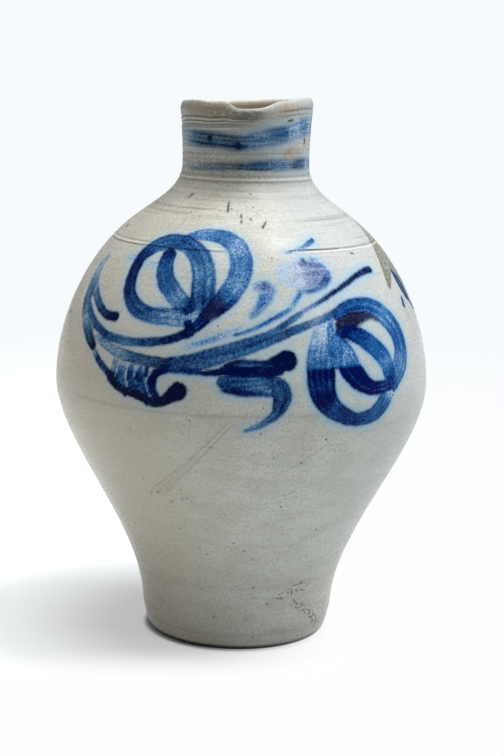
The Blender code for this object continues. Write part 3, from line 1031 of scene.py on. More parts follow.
@dataclass(frozen=True)
class SaltGlaze:
    """Grey stoneware fired with salt thrown into the kiln.

    The salt leaves a thin glassy skin: soft gloss, orange-peel dimples, clouds of warmer and cooler grey,
    dark iron specks and pinholes. Cobalt brushed on before firing shows from pale wash to near black.
    """

    name: str
    shape: WallShape
    light: str = "#C5C6BE"
    dark: str = "#B9BAB0"
    halo: str = "#87AFC8"
    blues: tuple[tuple[float, str], ...] = (
        (0.0, "#AEBDCC"), (0.22, "#6C91BA"), (0.45, "#28649E"),
        (0.65, "#144986"), (0.82, "#082B6A"), (1.0, "#020C4A"),
    )
    slates: tuple[tuple[float, str], ...] = (
        (0.0, "#A9B4BA"), (0.22, "#82949E"), (0.45, "#4A687A"),
        (0.65, "#2A485A"), (0.82, "#182C3A"), (1.0, "#060D18"),
    )
    violets: tuple[tuple[float, str], ...] = (
        (0.0, "#B4AFC0"), (0.3, "#7F7A98"), (0.6, "#453F54"), (1.0, "#1C171D"),
    )
    under: tuple[Layer, ...] = (
        Layer("#9D998C", "streaks", 0.30),
        Layer("#A8A296", "dimples", 0.38),
        Layer("#8B877C", "grain", 0.62),
        Layer("#3A3229", "specks", 0.95),
        Layer("#4B4338", "pinholes", 0.50),
        Layer("#B7AA93", "warm_side", 0.60),
        Layer("#B1B6B9", "cool_side", 0.65),
        Layer("#98846A", "lining"),
        Layer("#B09A76", "stain", 0.9, "blotches"),
        # A darker collar, and painted shade low on the left of the wall.
        Layer("#6F6E68", "smoked", 0.29),
        Layer("#3F3B34", "smoked", 0.50, "grain"),
        # Painted shade under the lip.
        Layer("#55524A", "grime", 0.8, "blotches"),
        Layer("#4A4942", "grime", 0.24),
        Layer("#87887A", "run", 0.85),
        Layer("#46402F", "run", 0.72, "crumbs"),
        Layer("#56544A", "run_rim", 0.7),
        Layer("#4C4133", "scar", 0.85, "crumbs"),
        Layer("#8A857B", "turned", 0.10),
        Layer("#6A6256", "turned", 0.26, "scratches"),
        Layer("#62504A", "scored"),
        # Painted shade in the cut lines.
        Layer("#4A4032", "soil"),
        # Painted shadow where the foot meets the table.
        Layer("#0B0907", "foot_line"),
        # Painted highlight on the raised lines.
        Layer("#DCD8CD", "worn", 0.9),
    )
    over: tuple[Layer, ...] = (Layer("#2A2119", "iron", 0.95, "burnt"),)
    ior: float = 1.5
    shine: float = 0.25
    cobalt_shine: float = 0.05
    smoothest: float = 0.20
    roughest: float = 0.36
    cobalt_roughness: float = 0.25
    peel_height: float = 0.10
    relief: float = 0.7
    hollow: float = -0.8
    ragged: float = 0.6
    fringe: float = 0.55
    edge_fade: float = 1.0
    blots: float = 0.15
    mottle: float = 0.31
    flecks: float = 0.22
    flecks_level: float = 0.125
    least_violet: float = 0.4
    most_violet: float = 1.4
    bleed: float = 2.7
    pale_bleed: float = 0.55
    deep_bleed: float = 1.20
    pale_cover: float = 0.55
    covering: float = 0.35

    def make(self) -> bpy.types.Material:
        """Builds the material.

        Returns:
            The material.
        """
        material = bpy.data.materials.new(self.name)
        tree = empty_tree(material)
        node = partial(add_node, tree)
        masks = self.masks(tree)
        clay = COLOURS | {6: linear(self.dark), 7: linear(self.light)}
        clay = node("Mix", clay, {0: masks["clouds"]}, 2)
        clay = self.layered(tree, masks, clay, self.under)
        painted, wet = self.cobalt(tree, masks, clay)
        colour = self.layered(tree, masks, painted, self.over)
        rough = node("MapRange", {3: self.smoothest, 4: self.roughest}, {0: masks["peel"]})
        rough = node("Mix", {3: self.cobalt_roughness}, {0: wet, 2: rough})
        shine = node("Mix", {2: self.shine, 3: self.cobalt_shine}, {0: wet})
        relief = masks["peel"]
        lines = node("Math", TIMES, {0: masks["turned"], 1: masks["scratches"]})
        for dent in (masks["pinholes"], lines):
            relief = node("Math", ADDED | {1: self.hollow}, {0: dent, 2: relief})
        height = {"Strength": self.relief, "Distance": self.peel_height * MM}
        dimpled = node("Bump", height, {"Height": relief})
        feeds = {"Base Color": colour, "Roughness": rough, "Specular IOR Level": shine, "Normal": dimpled}
        skin = node("BsdfPrincipled", {"IOR": self.ior}, feeds)
        node("OutputMaterial", None, {"Surface": skin})
        return material

    def masks(self, tree: Tree) -> dict[str, Socket]:
        """Makes every mask that a layer can show through.

        Args:
            tree: The material's nodes.

        Returns:
            Patterns, spots, values that the mesh carries and scratches, by name.
        """
        node = partial(add_node, tree)
        place = node("TexCoord", output="Object")
        masks = {}
        for name, pattern in PATTERNS.items():
            spot = node("Mapping", {"Scale": (1.0, 1.0, pattern.flat)}, {"Vector": place})
            scale = {"Scale": 1.0 / (pattern.size * MM), "Detail": pattern.detail}
            noise = node("TexNoise", scale, {"Vector": spot}, "Fac")
            masks[name] = node("MapRange", EASED | {1: pattern.low, 2: pattern.high}, {0: noise})
        for name, spots in SPOTS.items():
            scale = {"Scale": 1.0 / (spots.spacing * MM)}
            away = node("TexVoronoi", scale, {"Vector": place}, "Distance")
            chance = node("TexVoronoi", scale, {"Vector": place}, "Color")
            dot = node("MapRange", EASED | {1: spots.share, 2: spots.share / 2}, {0: away})
            some = node("Math", {"operation": "GREATER_THAN", 1: spots.few}, {0: chance})
            masks[name] = node("Math", TIMES, {0: dot, 1: some})
        for name in CARRIED:
            masks[name] = node("Attribute", {"attribute_name": name}, output="Fac")
        scored, *others = (scratch.mask(tree, place, self.shape) for scratch in SCRATCHES)
        for line in others:
            scored = node("Math", LARGER, {0: scored, 1: line})
        return masks | {"scored": scored}

    @staticmethod
    def layered(tree: Tree, masks: dict[str, Socket], colour: Socket, layers: tuple[Layer, ...]) -> Socket:
        """Lays colours over the clay one after another.

        Args:
            tree: The material's nodes.
            masks: The masks by name.
            colour: The colour under them.
            layers: What is laid on.

        Returns:
            The colour with them.
        """
        node = partial(add_node, tree)
        for layer in layers:
            share = node("Math", TIMES | {1: layer.amount}, {0: masks[layer.mask]})
            if layer.broken:
                share = node("Math", TIMES, {0: share, 1: masks[layer.broken]})
            colour = node("Mix", COLOURS | {7: linear(layer.colour)}, {0: share, 6: colour}, 2)
        return colour

    def cobalt(self, tree: Tree, masks: dict[str, Socket], clay: Socket) -> tuple[Socket, Socket]:
        """The blue brushwork, bled a little into the glaze round it.

        Args:
            tree: The material's nodes.
            masks: The masks by name.
            clay: The colour under it.

        Returns:
            The colour with it, and where it lies.
        """
        node = partial(add_node, tree)
        edge = masks["cobalt_edge"]
        depth = masks["cobalt_depth"]
        for name in ("ragged", "fringe"):
            edge = node("Math", ADDED | {1: getattr(self, name)}, {0: masks[name], 2: edge})
        for name, amount in (("blots", self.blots), ("mottle", self.mottle), ("grain", self.flecks)):
            depth = node("Math", ADDED | {1: amount}, {0: masks[name], 2: depth})
        level = (self.blots + self.mottle) / 2 + self.flecks * self.flecks_level
        depth = node("Math", LESS | {1: level}, {0: depth})

        # Iron in the clay turns the blue to slate, and in a grainy way to violet.
        grain = node("MapRange", {3: self.least_violet, 4: self.most_violet}, {0: masks["mottle"]})
        grainy = node("Math", TIMES, {0: masks["cobalt_violet"], 1: grain})
        blue = node("ValToRGB", {"stops": self.blues}, {"Fac": depth})
        for stops, share in ((self.slates, masks["cobalt_grey"]), (self.violets, grainy)):
            iron = node("ValToRGB", {"stops": stops}, {"Fac": depth})
            blue = node("Mix", COLOURS, {0: share, 6: blue, 7: iron}, 2)

        # The colour bleeds into the glaze, more where it is deep and less where it is grey.
        start = PAINT_REACH + (self.ragged + self.fringe) / 2
        near = node("MapRange", {1: start - PAINT_REACH, 2: start}, {0: edge})
        bled = node("Math", {"operation": "POWER", 1: self.bleed}, {0: near})
        strong = node("MapRange", {3: self.pale_bleed, 4: self.deep_bleed}, {0: depth})
        bled = node("Math", TIMES, {0: bled, 1: strong})
        dull = node("Math", TIMES, {0: bled, 1: masks["cobalt_grey"]})
        bled = node("Math", LESS, {0: bled, 1: dull})
        clay = node("Mix", COLOURS | {7: linear(self.halo)}, {0: bled, 6: clay}, 2)

        # It covers within its edge, thinly where it is pale and not where the bristles missed.
        soft = masks["cobalt_soft"]
        hidden = node("Math", LESS | {0: start - self.edge_fade}, {1: soft})
        full = node("Math", {"operation": "ADD", 1: start + self.edge_fade}, {0: soft})
        share = node("MapRange", EASED, {0: edge, 1: hidden, 2: full})
        thick = node("MapRange", EASED | {2: self.covering, 3: self.pale_cover}, {0: depth})
        missed = node("Math", TIMES, {0: masks["cobalt_dry"], 1: masks["bristles"]})
        kept = node("Math", LESS | {0: 1.0}, {1: missed})
        for part in (thick, kept):
            share = node("Math", TIMES, {0: share, 1: part})
        return node("Mix", COLOURS, {0: share, 6: clay, 7: blue}, 2), share


@dataclass(frozen=True)
class Toning:
    """Where the kiln and a damp cloth changed the colour of the wall, where the collar is darker, and where
    painted shade falls: low on the left of the wall, and a painted shadow where the foot meets the table.

    A pair is where a change begins and where it is full, in degrees round from the lip or millimetres up.
    A patch is its middle and its spread.
    """

    warm_front: Span = (12.0, -48.0)
    warm_back: Span = (-170.0, -110.0)
    warm_end: Span = (180.0, 240.0)
    warm_loss: float = 0.6
    cool_front: Span = (18.0, 63.0)
    cool_back: Span = (170.0, 110.0)
    cool_foot: Span = (20.0, 130.0)
    cool_top: Span = (200.0, 250.0)
    cool_spread: float = 25.0
    # The darker collar, and the patch on its right where it is darkened least.
    collar: Span = (286.0, 294.0)
    spared_patch: Span = (52.0, 40.0)
    spared_share: float = 0.8
    # Painted shade low on the left of the wall, full near the table.
    foot: Span = (85.0, 15.0)
    foot_shade_patch: Span = (-75.0, 55.0)
    # The painted shadow where the foot meets the table, and how it weakens on the right.
    line: Span = (3.6, 1.8)
    contact_shadow_right: Span = (5.0, 45.0)
    contact_shadow_loss: float = 0.3
    ribbed: Span = (200.0, 280.0)
    rinse_height: float = 190.3
    rinse_edge: float = 0.8
    rinse_top: Span = (213.0, 205.0)
    rinse_left: Span = (13.0, 15.0)
    rinse_right: Span = (36.5, 34.5)
    rinse_slant: float = 0.45

    def shares(self, bearing: Array, height: Array) -> dict[str, Array]:
        """Works out how far each change goes.

        Args:
            bearing: Angle of each place round from the lip.
            height: Height of each place.

        Returns:
            Shares from 0 to 1 by name.
        """
        warm = ramp(bearing, *self.warm_front) * ramp(bearing, *self.warm_back)
        cool = ramp(bearing + self.cool_spread * ramp(height, *self.cool_top), *self.cool_front)
        # The collar is darkened, least in a patch on its right; painted shade falls low on the left of the
        # wall.
        collar = ramp(height, *self.collar) * (1.0 - self.spared_share * bump(bearing, *self.spared_patch))
        foot = ramp(height, *self.foot) * bump(bearing, *self.foot_shade_patch)
        # A painted shadow along the foot where it meets the table, weaker on the right.
        line = ramp(height, *self.line) * (1.0 - self.contact_shadow_loss * ramp(bearing, *self.contact_shadow_right))
        return {
            "warm_side": warm * (1.0 - self.warm_loss * ramp(height, *self.warm_end)),
            "cool_side": cool * ramp(bearing, *self.cool_back) * ramp(height, *self.cool_foot),
            "smoked": np.maximum(collar, foot),
            "foot_line": line,
            "turned": ramp(height, *self.ribbed),
        }

    def rinsed(self, bearing: Array, height: Array) -> Array:
        """Works out where the right flower was rinsed thin, down to a level line.

        Args:
            bearing: Angle of each place round from the lip.
            height: Height of each place.

        Returns:
            A share from 0 to 1 for each place.
        """
        above = height - self.rinse_height
        upright = within(above, self.rinse_edge) * ramp(height, *self.rinse_top)
        slanted = ramp(bearing + self.rinse_slant * above, *self.rinse_right)
        return upright * slanted * ramp(bearing, *self.rinse_left)


@dataclass(frozen=True)
class Ring:
    """One level ring of points on the plain pot."""

    radius: float
    height: float
    columns: Columns
    outside: float = 0.0
    lining: float = 0.0


def stitch(low: int, low_angles: Array, high: int, high_angles: Array) -> list[tuple[int, ...]]:
    """Faces between two rings, which may be divided differently.

    Args:
        low: Number of the first point of the ring that comes first.
        low_angles: Its angles.
        high: Number of the first point of the ring that comes next.
        high_angles: Its angles.

    Returns:
        The faces, facing outward.
    """
    n = len(low_angles)
    m = len(high_angles)
    if n == m:
        return [(low + i, low + (i + 1) % n, high + (i + 1) % n, high + i) for i in range(n)]
    low_next = np.append(low_angles[1:], np.inf)
    high_next = np.append(high_angles[1:], np.inf)
    faces = []
    i = 0
    j = 0
    while i < n or j < m:
        here = low + i % n
        there = high + j % m
        if j == m or (i < n and low_next[i] <= high_next[j]):
            i += 1
            faces.append((here, low + i % n, there))
        else:
            j += 1
            faces.append((here, high + j % m, there))
    return faces


@dataclass
class ThrownBody:
    """The wheel-thrown pot with its lip, tool lines and painted ornament."""

    shape: WallShape
    lip: Lip = Lip()
    toning: Toning = Toning()
    foot_edge: float = 1.5
    foot_shares: tuple[float, ...] = (0.3, 0.6, 0.85, 1.0)
    foot_turns: tuple[float, ...] = (30.0, 60.0)
    stretches: tuple[tuple[float, float, Columns], ...] = (
        (150.0, 2.4, Columns.MEDIUM),
        (251.0, 1.25, Columns.FINE),
        (259.0, 0.6, Columns.FINE),
        (289.0, 1.25, Columns.FINE),
    )
    collar_step: float = 0.68
    rim_steps: int = 15
    rim_outside: float = 1.5
    rim_lining: float = 0.8
    rim_thinning: float = 30.0
    lining: float = 0.9
    inner_top: float = 331.0
    inner_shoulder: float = 300.0
    neck_step: float = 2.0
    inner_step: float = 5.0
    corner: float = 14.0
    corner_turns: tuple[float, ...] = (25.0, 50.0, 75.0, 90.0)
    floor_shares: tuple[float, ...] = (0.6, 0.25)
    ripple: float = 0.05
    ripple_pitch: float = 15.0
    ripple_lag: float = 0.8
    ripple_start: Span = (4.0, 16.0)
    cross_ripple: float = 0.6
    cross_pitch: float = 0.37
    cross_lag: float = 0.7
    oval: float = 0.003
    oval_angle: float = 35.0
    oval_start: float = 60.0
    rim_bend: Span = (-12.0, 32.0)
    rim_lift: float = 0.8
    rim_slant: float = 1.4
    rim_tilt: float = 1.8
    rinse_share: float = 0.5
    cobalt_creep: float = 0.1
    # How strongly painted shade darkens the cut lines, and the most it may.
    groove_shade_gain: float = 1.7
    most_groove_shade: float = 0.8
    # How strongly a painted highlight lightens the raised lines, and the most it may.
    ridge_highlight_gain: float = 2.6
    most_ridge_highlight: float = 0.9
    iron_fade: float = 0.8
    run_edge: Span = (0.6, 1.3)

    def foot_rings(self) -> list[Ring]:
        """The flat underside and the small round at its edge.

        Returns:
            Its rings in order.
        """
        flat = self.shape.foot_radius - self.foot_edge
        rings = [Ring(flat * share, 0.0, Columns.COARSE) for share in self.foot_shares]
        for turn in np.radians(self.foot_turns):
            out = math.sin(turn) * self.foot_edge
            up = (1.0 - math.cos(turn)) * self.foot_edge
            rings.append(Ring(flat + out, up, Columns.MEDIUM, 1.0))
        return rings

    def outer_rings(self) -> list[Ring]:
        """The outside, in stretches that are closer where more is drawn.

        Returns:
            Its rings in order.
        """
        outline = self.shape.outline()
        along = travelled(outline)
        rings = []
        low = self.foot_edge
        for high, step, columns in (
            *self.stretches, (self.shape.collar_height, self.collar_step, Columns.MEDIUM)
        ):
            start, end = np.interp((low, high), outline[:, 1], along)
            for at in np.linspace(start, end, math.ceil((end - start) / step), endpoint=False):
                radius, height = (float(np.interp(at, along, side)) for side in outline.T)
                rings.append(Ring(radius, height, columns, 1.0))
            low = high
        return rings

    def rim_rings(self) -> list[Ring]:
        """The roll over the top of the rim.

        Returns:
            Its rings in order.
        """
        half = self.shape.rim_wall / 2
        middle = self.shape.rim_radius - half
        rings = []
        for turn in np.linspace(0.0, math.pi, self.rim_steps):
            radius = middle + math.cos(turn) * half
            height = self.shape.collar_height + math.sin(turn) * self.shape.rim_band
            lining = self.rim_lining * float(ramp(turn, math.pi / 2, math.pi))
            rings.append(Ring(radius, height, Columns.MEDIUM, float(turn < self.rim_outside), lining))
        return rings

    def inner_rings(self) -> list[Ring]:
        """The inside, one wall's thickness in, down to the floor.

        Returns:
            Its rings in order.
        """
        outline = self.shape.outline()
        way = unit(np.gradient(outline, axis=0))
        rim_share = ramp(outline[:, 1], self.shape.height - self.rim_thinning, self.shape.height)
        thick = self.shape.wall + (self.shape.rim_wall - self.shape.wall) * rim_share
        inner = outline + np.stack([-way[:, 1], way[:, 0]], axis=1) * thick[:, None]
        low = self.shape.floor + self.corner
        neck = np.arange(self.inner_top, self.inner_shoulder, -self.neck_step)
        heights = [*neck, *np.arange(self.inner_shoulder, low, -self.inner_step), low]
        order = inner[np.argsort(inner[:, 1])]
        places = list(zip(np.interp(heights, order[:, 1], order[:, 0]), heights))
        wall = places[-1][0]
        for turn in np.radians(self.corner_turns):
            places.append((wall - self.corner * (1.0 - math.cos(turn)), low - self.corner * math.sin(turn)))
        for share in self.floor_shares:
            places.append((places[-1][0] * share, self.shape.floor))
        return [Ring(float(r), float(z), Columns.COARSE, lining=self.lining) for r, z in places]

    def settle(self, radius: Array, height: Array, degrees: Array, outside: Array, inside: Array) -> Array:
        """Moves the plain pot's points to where the thrown clay lies.

        Args:
            radius: Distance from the axis.
            height: Height above the table.
            degrees: Angle round from the lip.
            outside: 1 on the outer face, which carries the tool lines, and 0 elsewhere.
            inside: 0 on the outer face, rising over the rim to the inner one.

        Returns:
            Rows of x, y and z in millimetres.
        """
        turn = np.radians(degrees)
        wave = height * math.tau / self.ripple_pitch
        swell = np.sin(wave + self.ripple_lag * np.sin(turn))
        cross = self.cross_lag * np.sin(2.0 * turn + 1.0)
        swell += self.cross_ripple * np.sin(wave / self.cross_pitch + cross)
        swell *= self.ripple * ramp(height, *self.ripple_start)
        cut = sum(line.cut(degrees, height) for line in TOOL_LINES)
        oval = self.oval * np.cos(2.0 * (turn - math.radians(self.oval_angle)))
        oval *= ramp(height, 0.0, self.oval_start)
        radius = radius * (1.0 + oval) + outside * (swell - cut)
        radius, height = self.lip.pull(radius, height, degrees, inside, self.shape.height)
        rise = ramp(height - self.shape.neck_height, *self.rim_bend)
        lift = self.rim_lift + self.rim_slant * np.sin(turn) + self.rim_tilt * np.cos(turn)
        return turned(radius, height + lift * rise, degrees)

    def build(self) -> Object:
        """Makes the mesh, with the values that its glaze reads.

        Returns:
            The piece.
        """
        rings = self.foot_rings() + self.outer_rings() + self.rim_rings() + self.inner_rings()
        angles = [ring.columns.angles() for ring in rings]
        counts = [len(turns) for turns in angles]
        starts = [0, *np.cumsum(counts).tolist()]
        sizes = [(ring.radius, ring.height, ring.outside, ring.lining) for ring in rings]
        radius, height, outside, lining = np.repeat(sizes, counts, axis=0).T
        degrees = np.concatenate(angles)
        points = self.settle(radius, height, degrees, outside, lining)

        faces = []
        for i in range(len(rings) - 1):
            faces += stitch(starts[i], angles[i], starts[i + 1], angles[i + 1])
        underside = len(points)
        last = starts[-2]
        faces += [(underside, (i + 1) % counts[0], i) for i in range(counts[0])]
        faces += [(last + i, last + (i + 1) % counts[-1], underside + 1) for i in range(counts[-1])]
        points = np.vstack([points, [[0.0, 0.0, 0.0], [0.0, 0.0, self.shape.floor]]])

        glaze = SaltGlaze("Salt-glazed stoneware with cobalt", self.shape)
        pot = add_mesh("thrown_pot", points, faces, glaze.make())
        for name, value in self.values(degrees, height, outside, lining).items():
            padded = np.append(value, [value[0], value[-1]]).astype(np.float32)
            pot.data.attributes.new(name, "FLOAT", "POINT").data.foreach_set("value", padded)
        return pot

    def values(self, degrees: Array, height: Array, outside: Array, lining: Array) -> dict[str, Array]:
        """What the glaze reads from the mesh at each point.

        Args:
            degrees: Angle round from the lip.
            height: Height on the plain pot.
            outside: 1 on the outer face.
            lining: How much of the bare inside shows.

        Returns:
            Values by name.
        """
        bearing = bearing_of(degrees)
        cobalt = Brushwork(self.shape, BRUSHWORK, self.cobalt_creep).paint(degrees, height)
        iron = Brushwork(self.shape, IRON_MARKS).paint(degrees, height)
        thinned = 1.0 - self.toning.rinsed(bearing, height) * (1.0 - self.rinse_share)
        cut = sum(line.cut(degrees, height) for line in TOOL_LINES)
        shares = self.toning.shares(bearing, height) | {
            "cobalt_edge": np.maximum(cobalt.edge + PAINT_REACH, 0.0),
            "cobalt_depth": cobalt.depth * thinned,
            "cobalt_violet": cobalt.violet,
            "cobalt_grey": cobalt.grey,
            "cobalt_soft": cobalt.soft,
            "cobalt_dry": cobalt.dry,
            "iron": within(iron.edge, self.iron_fade),
            # Painted shade darkens the cut lines in step with their depth.
            "soil": np.clip(cut * self.groove_shade_gain, 0.0, self.most_groove_shade),
            # A painted highlight lightens the raised lines in step with their height.
            "worn": np.clip(-cut * self.ridge_highlight_gain, 0.0, self.most_ridge_highlight),
        }
        for name, (strokes, fade) in MARKS.items():
            marks = Brushwork(self.shape, strokes).paint(degrees, height)
            shares[name] = within(marks.edge, fade) * marks.depth
            if name == "run":
                shares["run_rim"] = bump(marks.edge, *self.run_edge) * marks.depth
        return {name: value * outside for name, value in shares.items()} | {"lining": lining}


@dataclass
class StrapHandle:
    """The pulled strap behind the neck, luted to the collar and the shoulder with smoothed clay."""

    shape: WallShape
    top_drop: float = 24.0
    foot_drop: float = 85.0
    standoff: float = 52.0
    bow_drop: float = 47.0
    top_angle: float = 30.0
    foot_angle: float = 64.0
    top_pull: float = 30.0
    bow_pull: float = 25.0
    foot_pull: float = 20.0
    top_width: float = 38.0
    foot_width: float = 32.0
    top_thickness: float = 14.0
    foot_thickness: float = 10.5
    groove_depth: float = 1.6
    groove_share: float = 0.42
    roundness: float = 0.7
    root_spread: float = 8.0
    root_thickening: float = 3.5
    root_length: float = 18.0
    smear_spread: float = 3.0
    smear_length: float = 8.0
    closing: tuple[float, ...] = (0.02, 0.35, 0.7)
    sink: float = 10.0
    sink_steps: int = 8
    bury: float = 2.5
    wave: float = 0.25
    wave_length: float = 5.5
    wave_lag: float = 0.7
    stations: int = 120
    sides: int = 72

    def middle_line(self) -> Array:
        """Draws the strap's middle, run on into the wall.

        Returns:
            Rows of (distance behind the axis, height).
        """
        heights = self.shape.height - np.array([self.top_drop, self.foot_drop])
        top, foot = np.stack([self.shape.radius(heights), heights], axis=1)
        bow = np.array([self.shape.neck_radius + self.standoff, self.shape.height - self.bow_drop])
        rise = math.radians(self.top_angle)
        fall = math.radians(self.foot_angle)
        leave = np.array([math.cos(rise), math.sin(rise)]) * self.top_pull
        arrive = np.array([math.cos(fall), math.sin(fall)]) * self.foot_pull
        over = np.array([0.0, self.bow_pull])
        shares = np.linspace(0.0, 1.0, self.stations // 2, endpoint=False)
        upper = curve_points(np.array([top, top + leave, bow + over, bow]), shares)
        lower = curve_points(np.array([bow, bow - over, foot + arrive, foot]), np.append(shares, 1.0))
        line = np.vstack([upper, lower])
        steps = np.linspace(1.0, 0.0, self.sink_steps, endpoint=False)[:, None] * self.sink
        start, end = unit(np.array([line[0] - line[1], line[-1] - line[-2]]))
        return np.vstack([line[0] + start * steps, line, line[-1] + end * steps[::-1]])

    def build(self) -> Object:
        """Sweeps the strap's section along its middle and seats both roots in the wall.

        Returns:
            The piece.
        """
        line = self.middle_line()
        along = travelled(line) - self.sink
        way = unit(np.gradient(line, axis=0))
        caps = len(self.closing)
        rows = np.concatenate([[0] * caps, np.arange(len(line)), [len(line) - 1] * caps])
        line, along, way = line[rows], along[rows], way[rows]
        shrink = np.concatenate([self.closing, np.ones(len(line) - 2 * caps), self.closing[::-1]])
        whole = along[-1] - self.sink
        share = np.clip(along / whole, 0.0, 1.0)
        end = np.minimum(along, whole - along)
        root = smooth(1.0 - end / self.root_length)
        smear = self.smear_spread * smooth(1.0 - end / self.smear_length) ** 2
        width = self.top_width + (self.foot_width - self.top_width) * share
        width = (width + self.root_spread * root + smear) * shrink
        thickness = self.top_thickness + (self.foot_thickness - self.top_thickness) * share
        thickness = (thickness + self.root_thickening * root + smear) * shrink

        turn = np.linspace(0.0, math.tau, self.sides, endpoint=False)
        across, out = (np.sign(v) * np.abs(v) ** self.roundness for v in (np.cos(turn), np.sin(turn)))
        groove = np.where(out > 0.0, bump(across, 0.0, self.groove_share), 0.0)
        lift = np.outer(thickness, out) / 2 - self.groove_depth * np.outer(shrink, groove)
        wave = self.wave * np.outer(np.sin(along / self.wave_length), np.sin(turn + self.wave_lag))
        x = np.outer(width, across) / 2 + wave
        y = line[:, :1] - way[:, 1:] * (lift + wave)
        z = line[:, 1:] + way[:, :1] * (lift + wave)
        least = self.shape.radius(z) - self.bury
        push = np.maximum(1.0, least / np.maximum(np.hypot(x, y), 1.0))
        points = np.stack([x * push, y * push, z], axis=-1).reshape(-1, 3)

        n = self.sides
        faces = []
        for low in range(0, len(points) - n, n):
            faces += stitch(low, turn, low + n, turn)
        faces += [tuple(range(n - 1, -1, -1)), tuple(range(len(points) - n, len(points)))]
        glaze = SaltGlaze("Salt-glazed stoneware", self.shape, "#B3B4AB", "#A3A499")
        return add_mesh("pulled_strap", points, faces, glaze.make())


@dataclass(frozen=True)
class Lamp:
    """A broad round lamp: its name, power in watts, size and place in metres, and whether it glints."""

    name: str
    power: float
    size: float
    place: tuple[float, float, float]
    glints: bool = False

    def make(self) -> None:
        """Adds the lamp, turned towards the middle of the pot."""
        data = bpy.data.lights.new(self.name, "AREA")
        data.shape = "DISK"
        data.size = self.size
        data.energy = self.power
        lamp = add_object(self.name, data)
        lamp.location = self.place
        lamp.visible_glossy = self.glints
        middle = Vector(CAD_BOX[0]).lerp(Vector(CAD_BOX[1]), 0.5)
        lamp.rotation_euler = (middle - lamp.location).to_track_quat("-Z", "Y").to_euler()


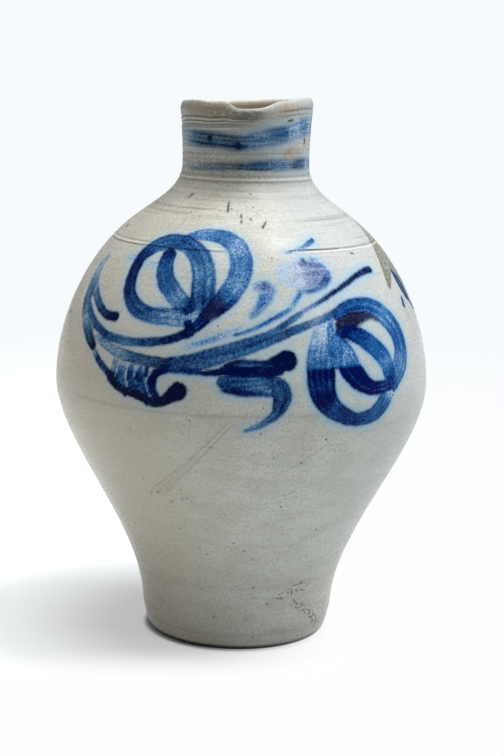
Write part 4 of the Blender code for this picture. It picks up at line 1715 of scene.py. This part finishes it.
@dataclass(frozen=True)
class Studio:
    """A white sweep, a broad lamp overhead, one on the right, and the room's own even light.

    The floor is sized in millimetres, and the places where its look changes are in metres from the pot's
    middle: the shadow where the pot touches it, and the fades to white in front, on the right and far off.
    """

    floor_size: float = 6000.0
    floor_colour: str = "#CCD1D2"
    paper_white: str = "#FEFEFE"
    background: str = "#F6FAFD"
    lift: float = 0.38
    contact: float = 0.0575
    contact_end: float = 0.0625
    near: float = 0.30
    far: float = 1.5
    front: float = -0.045
    front_end: float = -0.115
    right: float = -0.03
    right_end: float = 0.075
    room: float = 0.12
    mirrored: float = 0.35
    mirror_start: float = -0.4
    mirror_end: float = 0.6
    lamps: tuple[Lamp, ...] = (
        Lamp("glint lamp", 9.0, 0.30, (0.50, -0.12, 1.9), True),
        Lamp("high lamp", 27.0, 1.2, (0.0, 0.0, 2.0)),
        Lamp("right lamp", 25.5, 1.2, (1.0, 0.0, 1.7)),
        Lamp("left fill", 4.5, 0.8, (-1.5, -0.2, 0.6)),
        Lamp("right fill", 2.6, 0.40, (1.15, -0.85, 1.1), True),
        Lamp("front fill", 1.3, 0.8, (0.2, -1.6, 0.4)),
    )

    @staticmethod
    def seen(tree: Tree) -> Socket:
        """Tells the rays that see the background from those that light the pot.

        Args:
            tree: The material's nodes.

        Returns:
            1 for a ray from the camera, in a reflection or through glass, and 0 for any other.
        """
        rays = ("Is Camera Ray", "Is Glossy Ray", "Is Transmission Ray")
        total, *others = (add_node(tree, "LightPath", output=ray) for ray in rays)
        for ray in others:
            total = add_node(tree, "Math", LARGER, {0: total, 1: ray})
        return total

    def floor(self) -> Object:
        """A plain pale floor that turns into the white background away from the pot.

        Returns:
            The piece.
        """
        material = bpy.data.materials.new("White paper sweep")
        tree = empty_tree(material)
        node = partial(add_node, tree)
        seen = self.seen(tree)
        place = node("TexCoord", output="Object")
        away = node("VectorMath", {"operation": "LENGTH"}, {0: place}, "Value")
        aside = node("SeparateXYZ", None, {0: place}, "X")
        depth = node("SeparateXYZ", None, {0: place}, "Y")
        paper = node("BsdfDiffuse", {"Color": linear(self.floor_colour)})
        grounded = EASED | {1: self.contact, 2: self.contact_end, 4: self.lift}
        lift = node("Math", TIMES, {0: node("MapRange", grounded, {0: away}), 1: seen})
        glow = node("Emission", None, {"Strength": lift})
        sweep = node("AddShader", None, {0: paper, 1: glow})
        fades = (
            # The fades in front and on the right are painted light: they whiten the pot's shadow on the
            # floor where it is seen.
            (depth, self.front, self.front_end, self.paper_white),
            (aside, self.right, self.right_end, self.paper_white),
            (away, self.near, self.far, self.background),
        )
        for distance, start, end, colour in fades:
            fade = node("MapRange", EASED | {1: start, 2: end}, {0: distance})
            shown = node("Math", TIMES, {0: fade, 1: seen})
            white = node("Emission", {"Color": linear(colour)})
            sweep = node("MixShader", None, {0: shown, 1: sweep, 2: white})
        node("OutputMaterial", None, {"Surface": sweep})
        half = self.floor_size / 2
        corners = np.array([(-half, -half, 0.0), (half, -half, 0.0), (half, half, 0.0), (-half, half, 0.0)])
        return add_mesh("floor", corners, [(0, 1, 2, 3)], material)

    def world(self) -> None:
        """White behind the pot, for the camera and in reflections, with a darker room in front of it."""
        world = bpy.data.worlds.new("white room")
        node = partial(add_node, empty_tree(world))
        way = node("TexCoord", output="Generated")
        deep = node("VectorMath", {"operation": "DOT_PRODUCT", 1: (0, 1, 0)}, {0: way}, 1)
        reach = EASED | {1: self.mirror_start, 2: self.mirror_end, 4: self.mirrored}
        behind = node("MapRange", reach, {0: deep})
        glossy = node("LightPath", output="Is Glossy Ray")
        lit = node("Mix", {2: self.room}, {0: glossy, 3: behind})
        for ray in ("Is Camera Ray", "Is Transmission Ray"):
            lit = node("Math", LARGER, {0: lit, 1: node("LightPath", output=ray)})
        shown = node("Background", {"Color": linear(self.background)}, {"Strength": lit})
        node("OutputWorld", None, {"Surface": shown})
        bpy.context.scene.world = world


def dress(piece: Object, node: str) -> None:
    """Lets a piece stand for a CAD node, and reports it.

    Args:
        piece: The modelled piece.
        node: The CAD node that it replaces.
    """
    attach(piece, "root")
    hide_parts(node)
    log.info("%s stands for %s: %d faces", piece.name, node, len(piece.data.polygons))


def main() -> None:
    """Builds the pitcher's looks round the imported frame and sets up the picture."""
    logging.basicConfig(level=logging.INFO, format="%(name)s: %(message)s")
    bpy.context.scene.view_settings.view_transform = "Standard"
    shape = WallShape(belly_radius=CAD_BOX[1][0] / MM)
    dress(ThrownBody(shape).build(), "thrown_body")
    dress(StrapHandle(shape).build(), "strap_handle")
    studio = Studio()
    studio.floor()
    studio.world()
    for lamp in studio.lamps:
        lamp.make()
    Camera().make()


if __name__ == "__main__":
    main()
